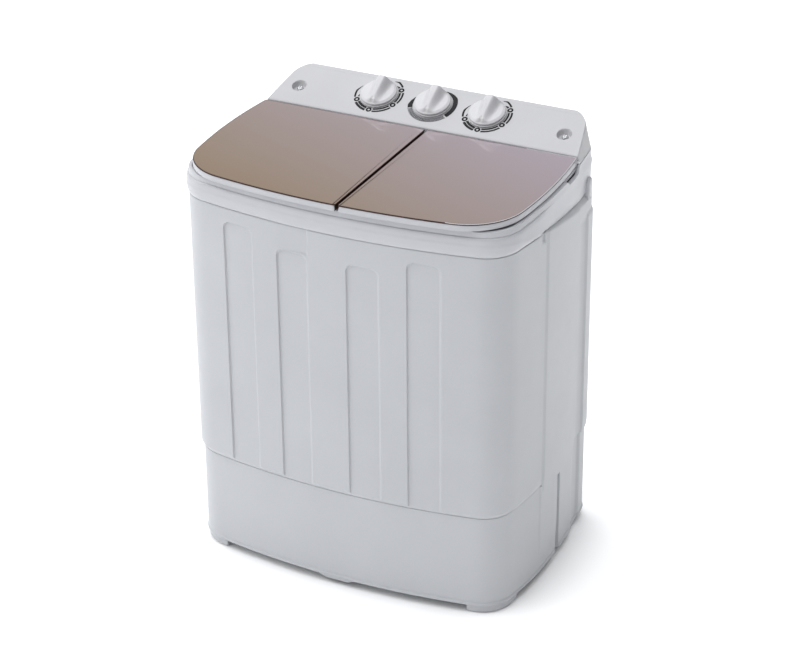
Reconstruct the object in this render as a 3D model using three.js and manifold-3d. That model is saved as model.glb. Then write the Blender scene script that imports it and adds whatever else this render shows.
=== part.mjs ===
// Portable twin-tub washing machine: wash tub on the left, spin dryer on the right.
// Millimetres, +Z up. The origin is on the floor under the middle of the machine,
// +X is the user's right hand at the front and +Y is the back.
import * as THREE from 'three';
import { ParametricGeometry } from 'three/addons/geometries/ParametricGeometry.js';
import { mergeVertices } from 'three/addons/utils/BufferGeometryUtils.js';
import Module from 'manifold-3d';

const wasm = await Module();
wasm.setup();

// ---------- driving dimensions ----------
const WALL = 3;
const GAP = 0.3;
const HALF_DEPTH_OVERALL = 206;

const CABINET = {
  halfWidth: 290, front: -198, back: 198, widestY: 0,
  frontRadius: 1250, sideRadius: 1200, corner: 60, backCorner: 25,
};
const LID = {
  halfWidth: 286, front: -HALF_DEPTH_OVERALL, back: 111, widestY: -10,
  frontRadius: 1320, sideRadius: 908, corner: 95, backCorner: 3,
};

const FOOT_HEIGHT = 15.7;
const SKIRT_BOTTOM = 14;
const STEP_Z = 178;
const STEP_CHAMFER = 9;
const SKIRT_INSET = 4.8;
const COLLAR_BOTTOM = 638.3;
const DECK_TOP = 679;
const DECK_THICK = 5;
const COLLAR_TOP = 681;
const COLLAR_BULGE = 4.5;

const LID_BOTTOM = 683;
const LID_TOP = 694.2;
const WINDOW_THICK = 1.9;
const LID_RIM = 12;
const SEAM_X = 16.7;
const SEAM_GAP = 2.4;
const HINGE = { y: 106, z: 687.5, pinRadius: 2, lugRadius: 4 };

const CONSOLE = { front: 114.6, bottom: COLLAR_TOP + GAP, halfWidth: 285, slope: THREE.MathUtils.degToRad(22) };
const CONSOLE_TOP = 731;
const CONSOLE_BACK_THICK = 9;
const KNOB_UP_SLOPE = 54;
const KNOB_X = { wash: -95.5, selector: 1.5, spin: 98.5 };
const KNOB_RADIUS = 32.5;
const KNOB_GRIP = { length: 57, thick: 11, low: 11.5, high: 22 };
const PANEL_SCREW = { x: 237, up: 41.7, recessRadius: 11.5, recessDepth: 8 };

const GROOVE = { middleX: -6.8, outer: 161, inner: 61, halfWidth: 28, corner: 12, outerTop: 616, innerTop: 594, depth: 5.5 };

const WASH_TUB = { x0: -266, x1: 18, y0: -172, y1: 104, corner: 60, floor: 236, top: 673.7 };
const SPIN_AXIS = { x: 152, y: -40 };
const SPIN_TUB = { radius: 119, floor: 172, top: 673.7, mouth: 112 };
const BASKET = { radius: 101, wall: 2, floor: 196, top: 642 };
const PULSATOR = { x: -124, y: -34, radius: 118, z: 244 };
const WASH_MOTOR = { y: 86, radius: 48, z0: 60, z1: 148 };
const BELT_Z = 160;
const BIG_PULLEY_RADIUS = 64;
const SMALL_PULLEY_RADIUS = 16;
const WASH_DRAIN = { x: -20, y: 70 };
const SPIN_DRAIN = { x: SPIN_AXIS.x, y: SPIN_AXIS.y + 80 };
const DRAIN_BORE = 8;
const VALVE = { x: 20, y: 122, z0: 46, z1: 116, radius: 19, inletZ: 100, outletZ: 62 };
const SPIN_MOTOR = { radius: 52, z0: 52, z1: 128 };
const DRUM = { radius: 34, z0: 131, z1: 149 };

// ---------- colours ----------
const WHITE = { color: 0xe9eaee, roughness: 0.42, metalness: 0 };
const LID_TINT = { color: 0xa4917f, roughness: 0.08, metalness: 0 };
const KNOB_WHITE = { color: 0xf0f0f1, roughness: 0.3, metalness: 0 };
const TUB = { color: 0xdfe3e6, roughness: 0.35, metalness: 0 };
const BLUE_PP = { color: 0x9fb4c6, roughness: 0.4, metalness: 0 };
const STEEL = { color: 0xb9bcc0, roughness: 0.35, metalness: 1 };
const ZINC = { color: 0xa8abad, roughness: 0.5, metalness: 1 };
const CAST = { color: 0x8d9094, roughness: 0.6, metalness: 1 };
const MOTOR_PAINT = { color: 0x3b3e42, roughness: 0.55, metalness: 0.3 };
const RUBBER = { color: 0x24262a, roughness: 0.8, metalness: 0 };
const BLACK_PLASTIC = { color: 0x2d2f33, roughness: 0.5, metalness: 0 };

// ---------- solids ----------
const machine = new THREE.Group();
const consoleFace = new THREE.Group();
consoleFace.position.set(0, CONSOLE.front, LID_TOP);
consoleFace.rotation.x = CONSOLE.slope;
machine.add(consoleFace);
consoleFace.updateMatrix();

function solidOf(geometry) {
  const bare = geometry.clone();
  bare.deleteAttribute('normal');
  bare.deleteAttribute('uv');
  const merged = mergeVertices(bare, 1e-4);
  return new wasm.Manifold(new wasm.Mesh({
    numProp: 3,
    vertProperties: new Float32Array(merged.attributes.position.array),
    triVerts: new Uint32Array(merged.index.array),
  }));
}

function geometryOf(solid) {
  const { vertProperties, triVerts } = solid.getMesh();
  const geometry = new THREE.BufferGeometry();
  geometry.setAttribute('position', new THREE.BufferAttribute(new Float32Array(vertProperties), 3));
  geometry.setIndex(new THREE.BufferAttribute(new Uint32Array(triVerts), 1));
  geometry.computeVertexNormals();
  return geometry;
}

const join = (first, ...rest) => rest.reduce((sum, next) => sum.add(next), first);
const cut = (first, ...tools) => tools.reduce((left, tool) => left.subtract(tool), first);
const common = (first, ...rest) => rest.reduce((left, next) => left.intersect(next), first);

function addPart(name, solid, finish, parent = machine) {
  const mesh = new THREE.Mesh(geometryOf(solid), new THREE.MeshStandardMaterial(finish));
  mesh.name = name;
  parent.add(mesh);
  return mesh;
}

function box(x0, x1, y0, y1, z0, z1) {
  const geometry = new THREE.BoxGeometry(x1 - x0, y1 - y0, z1 - z0);
  geometry.translate((x0 + x1) / 2, (y0 + y1) / 2, (z0 + z1) / 2);
  return solidOf(geometry);
}

function prism(points, z0, z1, holes = []) {
  const shape = new THREE.Shape(points);
  shape.holes = holes.map((hole) => new THREE.Path(hole));
  const geometry = new THREE.ExtrudeGeometry(shape, { depth: z1 - z0, bevelEnabled: false, curveSegments: 1 });
  geometry.translate(0, 0, z0);
  return solidOf(geometry);
}

// A solid of revolution about Z through (x, y); the profile is [radius, z] pairs.
function turned(x, y, profile, sides = 18) {
  const points = profile.map(([r, z]) => new THREE.Vector2(r, z));
  const closed = points[0].x === 0 && points.at(-1).x === 0 ? points : [...points, points[0]];
  const geometry = new THREE.LatheGeometry(closed, sides);
  geometry.rotateX(Math.PI / 2);
  geometry.translate(x, y, 0);
  const solid = solidOf(geometry);
  return solid.volume() > 0 ? solid : solidOf(flipped(geometry));
}

function flipped(geometry) {
  const copy = geometry.clone();
  const index = copy.index.array;
  for (let i = 0; i < index.length; i += 3) {
    [index[i], index[i + 1]] = [index[i + 1], index[i]];
  }
  return copy;
}

const rodZ = (x, y, r, z0, z1, sides = 18) => turned(x, y, [[0, z0], [r, z0], [r, z1], [0, z1]], sides);

function rodX(x0, x1, y, z, r, sides = 12) {
  const geometry = new THREE.CylinderGeometry(r, r, x1 - x0, sides);
  geometry.rotateZ(Math.PI / 2);
  geometry.translate((x0 + x1) / 2, y, z);
  return solidOf(geometry);
}

function rodY(y0, y1, x, z, r, sides = 20) {
  const geometry = new THREE.CylinderGeometry(r, r, y1 - y0, sides);
  geometry.translate(x, (y0 + y1) / 2, z);
  return solidOf(geometry);
}

// A round bar along a smooth path of points.
function tube(points, radius, steps, sides = 10) {
  const path = new THREE.CatmullRomCurve3(points.map((p) => new THREE.Vector3(...p)), false, 'centripetal');
  const section = new THREE.Shape(arc(0, 0, radius, 0, 2 * Math.PI, sides));
  return solidOf(new THREE.ExtrudeGeometry(section, { steps, extrudePath: path, bevelEnabled: false, curveSegments: 1 }));
}

// ---------- plan outlines ----------
// Points on an arc, without its last point, so arcs chain without doubles.
function arc(cx, cy, r, from, to, count) {
  return Array.from({ length: count }, (_, i) => {
    const angle = from + (to - from) * i / count;
    return new THREE.Vector2(cx + r * Math.cos(angle), cy + r * Math.sin(angle));
  });
}

function roundedRect(x0, x1, y0, y1, r, count = 6) {
  const quarter = Math.PI / 2;
  return [
    ...arc(x1 - r, y0 + r, r, -quarter, 0, count), new THREE.Vector2(x1, y0 + r),
    ...arc(x1 - r, y1 - r, r, 0, quarter, count), new THREE.Vector2(x1 - r, y1),
    ...arc(x0 + r, y1 - r, r, quarter, 2 * quarter, count), new THREE.Vector2(x0, y1 - r),
    ...arc(x0 + r, y0 + r, r, 2 * quarter, 3 * quarter, count), new THREE.Vector2(x0 + r, y0),
  ];
}

// Bowed front, bowed sides, big front corners and a straight back, offset inwards by inset.
function outline(plan, inset = 0) {
  const frontCentre = new THREE.Vector2(0, plan.front + plan.frontRadius);
  const sideCentre = new THREE.Vector2(plan.halfWidth - plan.sideRadius, plan.widestY);
  const corner = circlesMeet(frontCentre, plan.frontRadius - plan.corner, sideCentre, plan.sideRadius - plan.corner);
  const frontEnd = corner.clone().sub(frontCentre).angle() - 2 * Math.PI;
  const sideStart = corner.clone().sub(sideCentre).angle() - 2 * Math.PI;
  const backY = plan.back - plan.backCorner;
  const backX = sideCentre.x + Math.sqrt((plan.sideRadius - plan.backCorner) ** 2 - (backY - plan.widestY) ** 2);
  const sideEnd = Math.atan2(backY - plan.widestY, backX - sideCentre.x);
  const frontR = plan.frontRadius - inset;
  const right = [
    ...arc(0, frontCentre.y, frontR, -Math.PI / 2, frontEnd, 6),
    ...arc(corner.x, corner.y, plan.corner - inset, frontEnd, sideStart, 6),
    ...arc(sideCentre.x, plan.widestY, plan.sideRadius - inset, sideStart, sideEnd, 5),
    ...arc(backX, backY, Math.max(plan.backCorner - inset, 1), sideEnd, Math.PI / 2, 3),
    new THREE.Vector2(backX, plan.back - Math.min(inset, plan.backCorner - 1)),
  ];
  const left = right.slice(1).reverse().map((p) => new THREE.Vector2(-p.x, p.y));
  return [...right, ...left];
}

// The lower crossing of two circles.
function circlesMeet(a, ra, b, rb) {
  const between = b.clone().sub(a);
  const distance = between.length();
  const along = (ra ** 2 - rb ** 2 + distance ** 2) / (2 * distance);
  const aside = Math.sqrt(ra ** 2 - along ** 2);
  const unit = between.divideScalar(distance);
  const middle = a.clone().addScaledVector(unit, along);
  const normal = new THREE.Vector2(-unit.y, unit.x);
  const one = middle.clone().addScaledVector(normal, aside);
  const two = middle.clone().addScaledVector(normal, -aside);
  return one.y < two.y ? one : two;
}

// A closed wall that follows a plan outline; the section is a closed loop of [inset, z] pairs.
function wall(plan, section) {
  const rings = section.map(([inset, z]) => outline(plan, inset).map((p) => new THREE.Vector3(p.x, p.y, z)));
  const around = rings[0].length;
  const surface = (u, v, target) => {
    const ring = rings[Math.round(v * section.length) % section.length];
    target.copy(ring[Math.round(u * around) % around]);
  };
  const geometry = new ParametricGeometry(surface, around, section.length);
  const solid = solidOf(geometry);
  return solid.volume() > 0 ? solid : solidOf(flipped(geometry));
}

// ---------- cabinet, skirt, base and feet ----------
// A slot in the front wall with rounded top corners, between two depths below the wall's face.
function frontSlot(x, top, bottom, halfWidth, corner, from, to) {
  const centreY = CABINET.front + CABINET.frontRadius;
  const turn = Math.asin(x / CABINET.frontRadius);
  const shape = roundedRect(-halfWidth, halfWidth, bottom - corner, top, corner, 4);
  const geometry = new THREE.ExtrudeGeometry(new THREE.Shape(shape), { depth: to - from, bevelEnabled: false });
  geometry.rotateX(Math.PI / 2);
  geometry.translate(0, to - CABINET.frontRadius, 0);
  geometry.rotateZ(turn);
  geometry.translate(0, centreY, 0);
  return solidOf(geometry);
}

const grooves = [
  { x: GROOVE.middleX - GROOVE.outer, top: GROOVE.outerTop }, { x: GROOVE.middleX - GROOVE.inner, top: GROOVE.innerTop },
  { x: GROOVE.middleX + GROOVE.inner, top: GROOVE.innerTop }, { x: GROOVE.middleX + GROOVE.outer, top: GROOVE.outerTop },
];

function sideBand(side, y0, y1, z0, z1, proud) {
  const x0 = side > 0 ? 200 : -300;
  const band = prism(outline(CABINET, -proud), z0, z1);
  const core = prism(outline(CABINET, WALL / 2), z0 - 1, z1 + 1);
  return cut(common(band, box(x0, x0 + 100, y0, y1, z0 - 1, z1 + 1)), core);
}

function cabinetShell() {
  const top = COLLAR_BOTTOM - GAP;
  const low = STEP_Z + GAP;
  const skin = wall(CABINET, [
    [0, top], [0, STEP_Z + STEP_CHAMFER], [SKIRT_INSET, low], [SKIRT_INSET + WALL, low],
    [WALL, STEP_Z + STEP_CHAMFER + WALL], [WALL, top],
  ]);
  const behindFace = wall(CABINET, [
    [0.4, top], [0.4, STEP_Z + STEP_CHAMFER], [SKIRT_INSET + 0.4, low], [20, low], [20, top],
  ]);
  const { halfWidth, corner, depth } = GROOVE;
  const pads = common(join(...grooves.map((g) => (
    frontSlot(g.x, g.top + WALL, low, halfWidth + WALL, corner + WALL, 0, depth + WALL)))), behindFace);
  const cuts = grooves.map((g) => frontSlot(g.x, g.top, low - 1, halfWidth, corner, -4, depth));
  const bands = [-1, 1].flatMap((side) => [
    sideBand(side, -28, 106, STEP_Z + STEP_CHAMFER, 618, 2.6),
    sideBand(side, 150, 186, STEP_Z + STEP_CHAMFER, 618, 2.6),
  ]);
  const rearHole = box(-150, 150, 190, 200, 240, 440);
  return cut(join(skin, pads, ...bands), ...cuts, rearHole);
}

const SKIRT_RECESS = { y0: 15, y1: 98, depth: 7 };

function baseSkirt() {
  const top = STEP_Z;
  const skin = wall(CABINET, [
    [SKIRT_INSET, top], [SKIRT_INSET, SKIRT_BOTTOM], [SKIRT_INSET + WALL, SKIRT_BOTTOM], [SKIRT_INSET + WALL, top],
  ]);
  const ring = (a, b) => cut(prism(outline(CABINET, a), SKIRT_BOTTOM, top), prism(outline(CABINET, b), 0, top + 1));
  const bay = (grow) => box(200, 300, SKIRT_RECESS.y0 - grow, SKIRT_RECESS.y1 + grow, 0, 190);
  const padded = common(ring(SKIRT_INSET + 1, SKIRT_INSET + SKIRT_RECESS.depth + WALL), bay(WALL));
  const recess = common(ring(SKIRT_INSET - 1, SKIRT_INSET + SKIRT_RECESS.depth), bay(0));
  const spigotHole = rodY(180, 210, SPIGOT.x, SPIGOT.z, SPIGOT.radius + 1);
  return cut(join(skin, padded), recess, spigotHole);
}

const SPIGOT = { x: VALVE.x, z: VALVE.outletZ, radius: 15 };

const FLOOR_TOP = 20;
const BRAKE = { pivotX: SPIN_AXIS.x + 78, pivotY: SPIN_AXIS.y - 30, z: 136 };

// The floor of the machine, with the post that the brake lever turns on.
function basePlate() {
  const recessClear = box(270, 300, SKIRT_RECESS.y0 - 5, SKIRT_RECESS.y1 + 5, 0, 30);
  const plate = cut(prism(outline(CABINET, SKIRT_INSET + WALL + GAP), FOOT_HEIGHT + GAP, FLOOR_TOP), recessClear);
  const post = turned(BRAKE.pivotX, BRAKE.pivotY, [[0, FLOOR_TOP - 1], [12, FLOOR_TOP - 1], [12, 30], [7, 34],
    [7, BRAKE.z - GAP], [4, BRAKE.z - GAP], [4, BRAKE.z + 9], [0, BRAKE.z + 9]], 16);
  return join(plate, post);
}

function foot(xSign, ySign) {
  const [x0, x1] = xSign > 0 ? [212, 280] : [-280, -212];
  const [y0, y1] = ySign > 0 ? [112, 190] : [-190, -112];
  return common(prism(outline(CABINET, 14), 0, FOOT_HEIGHT), box(x0, x1, y0, y1, 0, FOOT_HEIGHT));
}

function buildCabinet() {
  addPart('cabinet_shell', cabinetShell(), WHITE);
  addPart('base_skirt', baseSkirt(), WHITE);
  addPart('base_plate', basePlate(), WHITE);
  for (const [name, xSign, ySign] of [['foot_front_left', -1, -1], ['foot_front_right', 1, -1],
    ['foot_rear_left', -1, 1], ['foot_rear_right', 1, 1]]) {
    addPart(name, foot(xSign, ySign), WHITE);
  }
  addPart('rear_service_cover', rearServiceCover(), WHITE);
}

// A plate over the service opening, with a lip that reaches into it.
function rearServiceCover() {
  const plate = box(-160, 160, 198 + GAP, 200.5, 230, 450);
  const lip = box(-149, 149, 194, 199, 241, 439);
  const hollow = box(-146, 146, 190, 198, 244, 436);
  const slots = [-1, 0, 1].flatMap((row) => [-1, 1].map((side) => (
    box(side * 60 - 30, side * 60 + 30, 180, 210, 340 + row * 18 - 3, 340 + row * 18 + 3))));
  return cut(join(plate, lip), hollow, ...slots);
}

// ---------- deck, lids and their hinges ----------
const washMouth = () => roundedRect(WASH_TUB.x0 + 8, WASH_TUB.x1 - 8, WASH_TUB.y0 + 8, WASH_TUB.y1 - 8, 52);

function hingeLug(x0, x1) {
  const post = box(x0, x1, HINGE.y - 4, HINGE.y + 4, DECK_TOP - 2, HINGE.z);
  const eye = rodX(x0, x1, HINGE.y, HINGE.z, HINGE.lugRadius);
  return join(post, eye);
}

function topDeck() {
  const collar = wall(CABINET, [
    [3, COLLAR_TOP], [1, 671.6], [-1.6, 671], [-3.8, 663], [-COLLAR_BULGE, 656], [-COLLAR_BULGE, 650],
    [-2.6, 643], [0.5, COLLAR_BOTTOM], [7, COLLAR_BOTTOM], [7, COLLAR_TOP],
  ]);
  const plate = prism(outline(CABINET, 5), DECK_TOP - DECK_THICK, DECK_TOP);
  const wash = prism(washMouth(), 600, 700);
  const spin = rodZ(SPIN_AXIS.x, SPIN_AXIS.y, SPIN_TUB.mouth, 600, 700, 32);
  const rear = box(-240, 240, 122, 186, 600, 700);
  const lugs = [hingeLug(279.3, 283), hingeLug(-283, -279.3), hingeLug(SEAM_X - 4, SEAM_X + 4)];
  const pinBore = rodX(-300, 300, HINGE.y, HINGE.z, HINGE.pinRadius + GAP);
  return cut(join(collar, cut(plate, wash, spin, rear), ...lugs), pinBore);
}

const lidHalf = (side) => (side < 0
  ? box(-300, SEAM_X - SEAM_GAP / 2, -220, 150, 600, 720)
  : box(SEAM_X + SEAM_GAP / 2, 300, -220, 150, 600, 720));

// A tray with a downward rim; its rear edge holds the hinge pins.
function lidTray(side) {
  const under = LID_TOP - WINDOW_THICK - GAP;
  const block = common(prism(outline(LID, 0.6), LID_BOTTOM, under), lidHalf(side));
  const shift = side * (LID_RIM + SEAM_GAP / 2);
  const pocketHalf = side < 0 ? box(-300, SEAM_X + shift, -220, 98, 600, 688) : box(SEAM_X + shift, 300, -220, 98, 600, 688);
  const pocket = common(prism(outline(LID, LID_RIM), LID_BOTTOM - 1, 688), pocketHalf);
  const notch = box(SEAM_X - 5, SEAM_X + 5, HINGE.y - 8, 120, 600, 700);
  const bores = rodX(-300, 300, HINGE.y, HINGE.z, HINGE.pinRadius + GAP);
  const boreReach = join(box(-300, -264, 90, 120, 600, 700), box(SEAM_X - 18, SEAM_X + 18, 90, 120, 600, 700),
    box(264, 300, 90, 120, 600, 700));
  return cut(block, pocket, notch, common(bores, boreReach));
}

const lidWindow = (side) => common(prism(outline(LID), LID_TOP - WINDOW_THICK, LID_TOP), lidHalf(side));

function hingePin(x0, x1) {
  return rodX(x0, x1, HINGE.y, HINGE.z, HINGE.pinRadius);
}

const INNER_LID = { radius: 114, z0: DECK_TOP + 0.4, z1: 682.4 };

function spinInnerLid() {
  const disc = rodZ(SPIN_AXIS.x, SPIN_AXIS.y, INNER_LID.radius, INNER_LID.z0, INNER_LID.z1, 32);
  const tab = box(SPIN_AXIS.x - 30, SPIN_AXIS.x + 30, 60, 89, INNER_LID.z0, INNER_LID.z1);
  const grip = box(SPIN_AXIS.x - 22, SPIN_AXIS.x + 22, -138, -130, INNER_LID.z1 - 1, INNER_LID.z1 + 4);
  return join(disc, tab, grip);
}

function buildTop() {
  addPart('top_deck', topDeck(), WHITE);
  addPart('wash_lid_tray', lidTray(-1), WHITE);
  addPart('wash_lid_window', lidWindow(-1), LID_TINT);
  addPart('spin_lid_tray', lidTray(1), WHITE);
  addPart('spin_lid_window', lidWindow(1), LID_TINT);
  addPart('wash_hinge_pin_outer', hingePin(-282.6, -266), STEEL);
  addPart('middle_hinge_pin', hingePin(SEAM_X - 16, SEAM_X + 16), STEEL);
  addPart('spin_hinge_pin_outer', hingePin(266, 282.6), STEEL);
  addPart('spin_inner_lid', spinInnerLid(), BLUE_PP);
}

// ---------- console ----------
// The raised rear console: a wedge whose face slopes and whose ends lean inwards.
function consoleBlock(inset) {
  const top = CONSOLE_TOP - inset;
  const half = CONSOLE.halfWidth - inset;
  const elevation = new THREE.Shape();
  elevation.moveTo(-half, CONSOLE.bottom);
  elevation.lineTo(half, CONSOLE.bottom);
  elevation.lineTo(half - 21, top - 11);
  elevation.quadraticCurveTo(half - 27, top - 1.5, half - 54, top - 1);
  elevation.quadraticCurveTo(0, top + 0.9, -(half - 54), top - 1);
  elevation.quadraticCurveTo(-(half - 27), top - 1.5, -(half - 21), top - 11);
  const back = HALF_DEPTH_OVERALL - inset;
  const front = CONSOLE.front + inset;
  const rise = Math.tan(CONSOLE.slope);
  const faceZ = LID_TOP - inset / Math.cos(CONSOLE.slope) + rise * inset;
  const crest = new THREE.Vector2(back - 9, faceZ + (back - 9 - front) * rise);
  const profile = new THREE.Shape();
  profile.moveTo(front, CONSOLE.bottom);
  profile.lineTo(back, CONSOLE.bottom);
  profile.lineTo(back, crest.y - 6);
  profile.quadraticCurveTo(back, crest.y + 1.5, crest.x, crest.y);
  profile.lineTo(front, faceZ);
  const across = new THREE.ExtrudeGeometry(profile, { depth: 600, bevelEnabled: false, curveSegments: 5 });
  across.rotateX(Math.PI / 2);
  across.rotateZ(Math.PI / 2);
  across.translate(-300, 0, 0);
  const along = new THREE.ExtrudeGeometry(elevation, { depth: 200, bevelEnabled: false, curveSegments: 6 });
  along.rotateX(Math.PI / 2);
  along.translate(0, 250, 0);
  const plan = outline({ ...CABINET, back: HALF_DEPTH_OVERALL }, inset);
  return common(solidOf(across), solidOf(along), prism(plan, CONSOLE.bottom, 760));
}

const onFace = (solid) => solid.transform(consoleFace.matrix.toArray());

function consolePanel() {
  const split = HALF_DEPTH_OVERALL - CONSOLE_BACK_THICK;
  const shell = cut(consoleBlock(0), join(consoleBlock(WALL), box(-280, 280, 118, 230, 600, CONSOLE.bottom + 1)));
  const bosses = [-1, 1].map((side) => onFace(rodZ(side * PANEL_SCREW.x, PANEL_SCREW.up, 14.5, -11, -1)));
  const recesses = [-1, 1].map((side) => onFace(rodZ(side * PANEL_SCREW.x, PANEL_SCREW.up,
    PANEL_SCREW.recessRadius, -PANEL_SCREW.recessDepth, 5)));
  const shafts = Object.values(KNOB_X).map((x) => onFace(rodZ(x, KNOB_UP_SLOPE, 5, -20, 5, 12)));
  const rear = box(-300, 300, split - GAP, 230, 600, 760);
  return cut(join(shell, ...bosses), ...recesses, ...shafts, rear);
}

function consoleBackCover() {
  const split = HALF_DEPTH_OVERALL - CONSOLE_BACK_THICK;
  const slab = common(consoleBlock(0), box(-300, 300, split, 230, 600, 760));
  const relief = common(consoleBlock(WALL), box(-300, 300, split - 1, HALF_DEPTH_OVERALL - WALL, 600, 760));
  const glandHole = rodY(190, 215, GLAND.x, GLAND.z, GLAND.radius + 0.5);
  const inlet = rodY(split + 1, HALF_DEPTH_OVERALL, INLET.x, INLET.z, INLET.radius);
  const inletBore = rodY(190, 215, INLET.x, INLET.z, INLET.radius - WALL);
  return cut(join(cut(slab, relief), inlet), glandHole, inletBore);
}

const INLET = { x: -200, z: 704, radius: 9 };
const GLAND = { x: 200, z: 704, radius: 6 };

function spigot(at, y0, y1, bore) {
  return cut(rodY(y0, y1, at.x, at.z, at.radius), rodY(y0 - 1, y1 + 1, at.x, at.z, bore, 12));
}

function knob() {
  const skirt = turned(0, 0, [[0, 1], [KNOB_RADIUS - 3, 1], [KNOB_RADIUS - 3, 3], [KNOB_RADIUS, 4], [KNOB_RADIUS, 6.5],
    [KNOB_RADIUS - 3, 8.2], [0, 9.5]], 24);
  const { length, thick, low, high } = KNOB_GRIP;
  const grip = new THREE.Shape();
  grip.moveTo(-length / 2, 7);
  grip.lineTo(length / 2, 7);
  grip.quadraticCurveTo(length / 2 + 0.5, high - 1, length / 2 - 5, high);
  grip.quadraticCurveTo(0, high - 2, 3 - length / 2, low);
  grip.lineTo(-length / 2, 7);
  const fin = new THREE.ExtrudeGeometry(grip, { depth: thick, bevelEnabled: false, curveSegments: 4 });
  fin.translate(0, 0, -thick / 2);
  fin.rotateX(Math.PI / 2);
  fin.rotateZ(Math.PI / 2);
  const socket = rodZ(0, 0, 4.3, 0, 12, 12);
  return cut(join(skirt, solidOf(fin)), socket);
}

function controlShaft() {
  return rodZ(0, 0, 3.8, -8.5, 11, 12);
}

function timerCase() {
  const body = box(-24, 24, -22, 22, -38, -9);
  const nose = rodZ(0, 0, 11, -9.5, -4.5, 16);
  const bore = rodZ(0, 0, 4.3, -12, 5, 12);
  return cut(join(body, nose), bore);
}

function selectorCase() {
  const body = rodZ(0, 0, 21, -32, -9, 24);
  const crankBox = box(-12, 12, -30, 0, -30, -14);
  const nose = rodZ(0, 0, 11, -9.5, -4.5, 16);
  return cut(join(body, crankBox, nose), rodZ(0, 0, 4.3, -12, 5, 12));
}

function buildControls() {
  addPart('console_panel', consolePanel(), WHITE);
  addPart('console_back_cover', consoleBackCover(), WHITE);
  addPart('power_cord_gland', spigot(GLAND, 192, HALF_DEPTH_OVERALL, 3.2), RUBBER);
  const cases = { wash: ['wash_timer', timerCase], selector: ['selector_switch', selectorCase], spin: ['spin_timer', timerCase] };
  for (const [key, x] of Object.entries(KNOB_X)) {
    const [caseName, makeCase] = cases[key];
    const finish = { knob: KNOB_WHITE, shaft: BLACK_PLASTIC, case: BLACK_PLASTIC };
    for (const [name, make, look] of [[`${key}_knob`, knob, finish.knob],
      [`${key}_control_shaft`, controlShaft, finish.shaft], [caseName, makeCase, finish.case]]) {
      addPart(name, make(), look, consoleFace).position.set(x, KNOB_UP_SLOPE, 0);
    }
  }
  for (const [name, side] of [['panel_screw_left', -1], ['panel_screw_right', 1]]) {
    const head = turned(0, 0, [[0, -7.7], [5.2, -7.7], [5.2, -6], [3.6, -4.6], [0, -4.2]], 16);
    const slot = cut(head, box(-4, 4, -0.7, 0.7, -5.6, -3), box(-0.7, 0.7, -4, 4, -5.6, -3));
    addPart(name, slot, STEEL, consoleFace).position.set(side * PANEL_SCREW.x, PANEL_SCREW.up, 0);
  }
}

// ---------- wash side ----------
function washTub() {
  const { x0, x1, y0, y1, corner, floor, top } = WASH_TUB;
  const outer = prism(roundedRect(x0, x1, y0, y1, corner), floor, top);
  const inner = prism(roundedRect(x0 + WALL, x1 - WALL, y0 + WALL, y1 - WALL, corner - WALL), floor + 4, top + 1);
  const shaftHole = rodZ(PULSATOR.x, PULSATOR.y, 9, 200, 300);
  const drainHole = rodZ(WASH_DRAIN.x, WASH_DRAIN.y, DRAIN_BORE, 200, 300);
  return cut(outer, inner, shaftHole, drainHole);
}

function pulsator() {
  const { x, y, z, radius } = PULSATOR;
  const dish = turned(x, y, [[0, z], [radius, z + 5], [radius, z + 8], [radius * 0.55, z + 9], [26, z + 20], [0, z + 26]], 24);
  const fins = [0, 1, 2, 3].map((k) => {
    const blade = new THREE.BoxGeometry(radius - 16, 9, 20);
    blade.translate((radius + 8) / 2, 0, 14);
    blade.rotateZ(k * Math.PI / 2 + 0.4);
    blade.translate(x, y, z);
    return solidOf(blade);
  });
  return cut(join(dish, ...fins), rodZ(x, y, 6.4, z - 2, z + 16, 16));
}

function bearingHousing() {
  const { x, y } = PULSATOR;
  const bore = 7.2;
  return turned(x, y, [[bore, 191], [20, 191], [20, 226], [34, 230], [34, WASH_TUB.floor - GAP], [bore, WASH_TUB.floor - GAP]]);
}

function driveBracket() {
  const { x, y } = PULSATOR;
  const plate = box(x - 78, x + 78, y - 60, y + 60, 187, 190);
  const posts = [-1, 1].flatMap((i) => [-1, 1].map((j) => (
    box(x + i * 70 - 7, x + i * 70 + 7, y + j * 52 - 7, y + j * 52 + 7, 188, WASH_TUB.floor - GAP))));
  return cut(join(plate, ...posts), rodZ(x, y, 12, 180, 195));
}

function pulley(x, y, radius, hub, bore) {
  const rim = BELT_Z;
  return turned(x, y, [[bore, rim - 2], [hub, rim - 2], [hub, rim], [radius, rim], [radius - 4, rim + 5], [radius, rim + 10],
    [hub, rim + 10], [hub, rim + 14], [bore, rim + 14]], 20);
}

// The belt runs round both pulleys in their grooves.
function belt() {
  const { x, y } = PULSATOR;
  const gap = WASH_MOTOR.y - y;
  const loop = (grow) => {
    const big = BIG_PULLEY_RADIUS + grow;
    const small = SMALL_PULLEY_RADIUS + grow;
    const lean = Math.asin((big - small) / gap);
    return [
      ...arc(x, y, big, Math.PI - lean, 2 * Math.PI + lean, 20), new THREE.Vector2(x + big * Math.cos(lean), y + big * Math.sin(lean)),
      ...arc(x, WASH_MOTOR.y, small, lean, Math.PI - lean, 8),
      new THREE.Vector2(x - small * Math.cos(lean), WASH_MOTOR.y + small * Math.sin(lean)),
    ];
  };
  return prism(loop(4), BELT_Z + 2, BELT_Z + 8, [loop(0.6)]);
}

function motorBody(x, y, r, z0, z1, bore) {
  const waist = (z1 - z0) * 0.28;
  return turned(x, y, [[0, z0], [r * 0.5, z0], [r * 0.86, z0 + 8], [r * 0.9, z0 + waist], [r, z0 + waist], [r, z1 - waist],
    [r * 0.9, z1 - waist], [r * 0.86, z1 - 8], [r * 0.5, z1], [bore, z1], [bore, z1 - 20], [0, z1 - 20]]);
}

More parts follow.
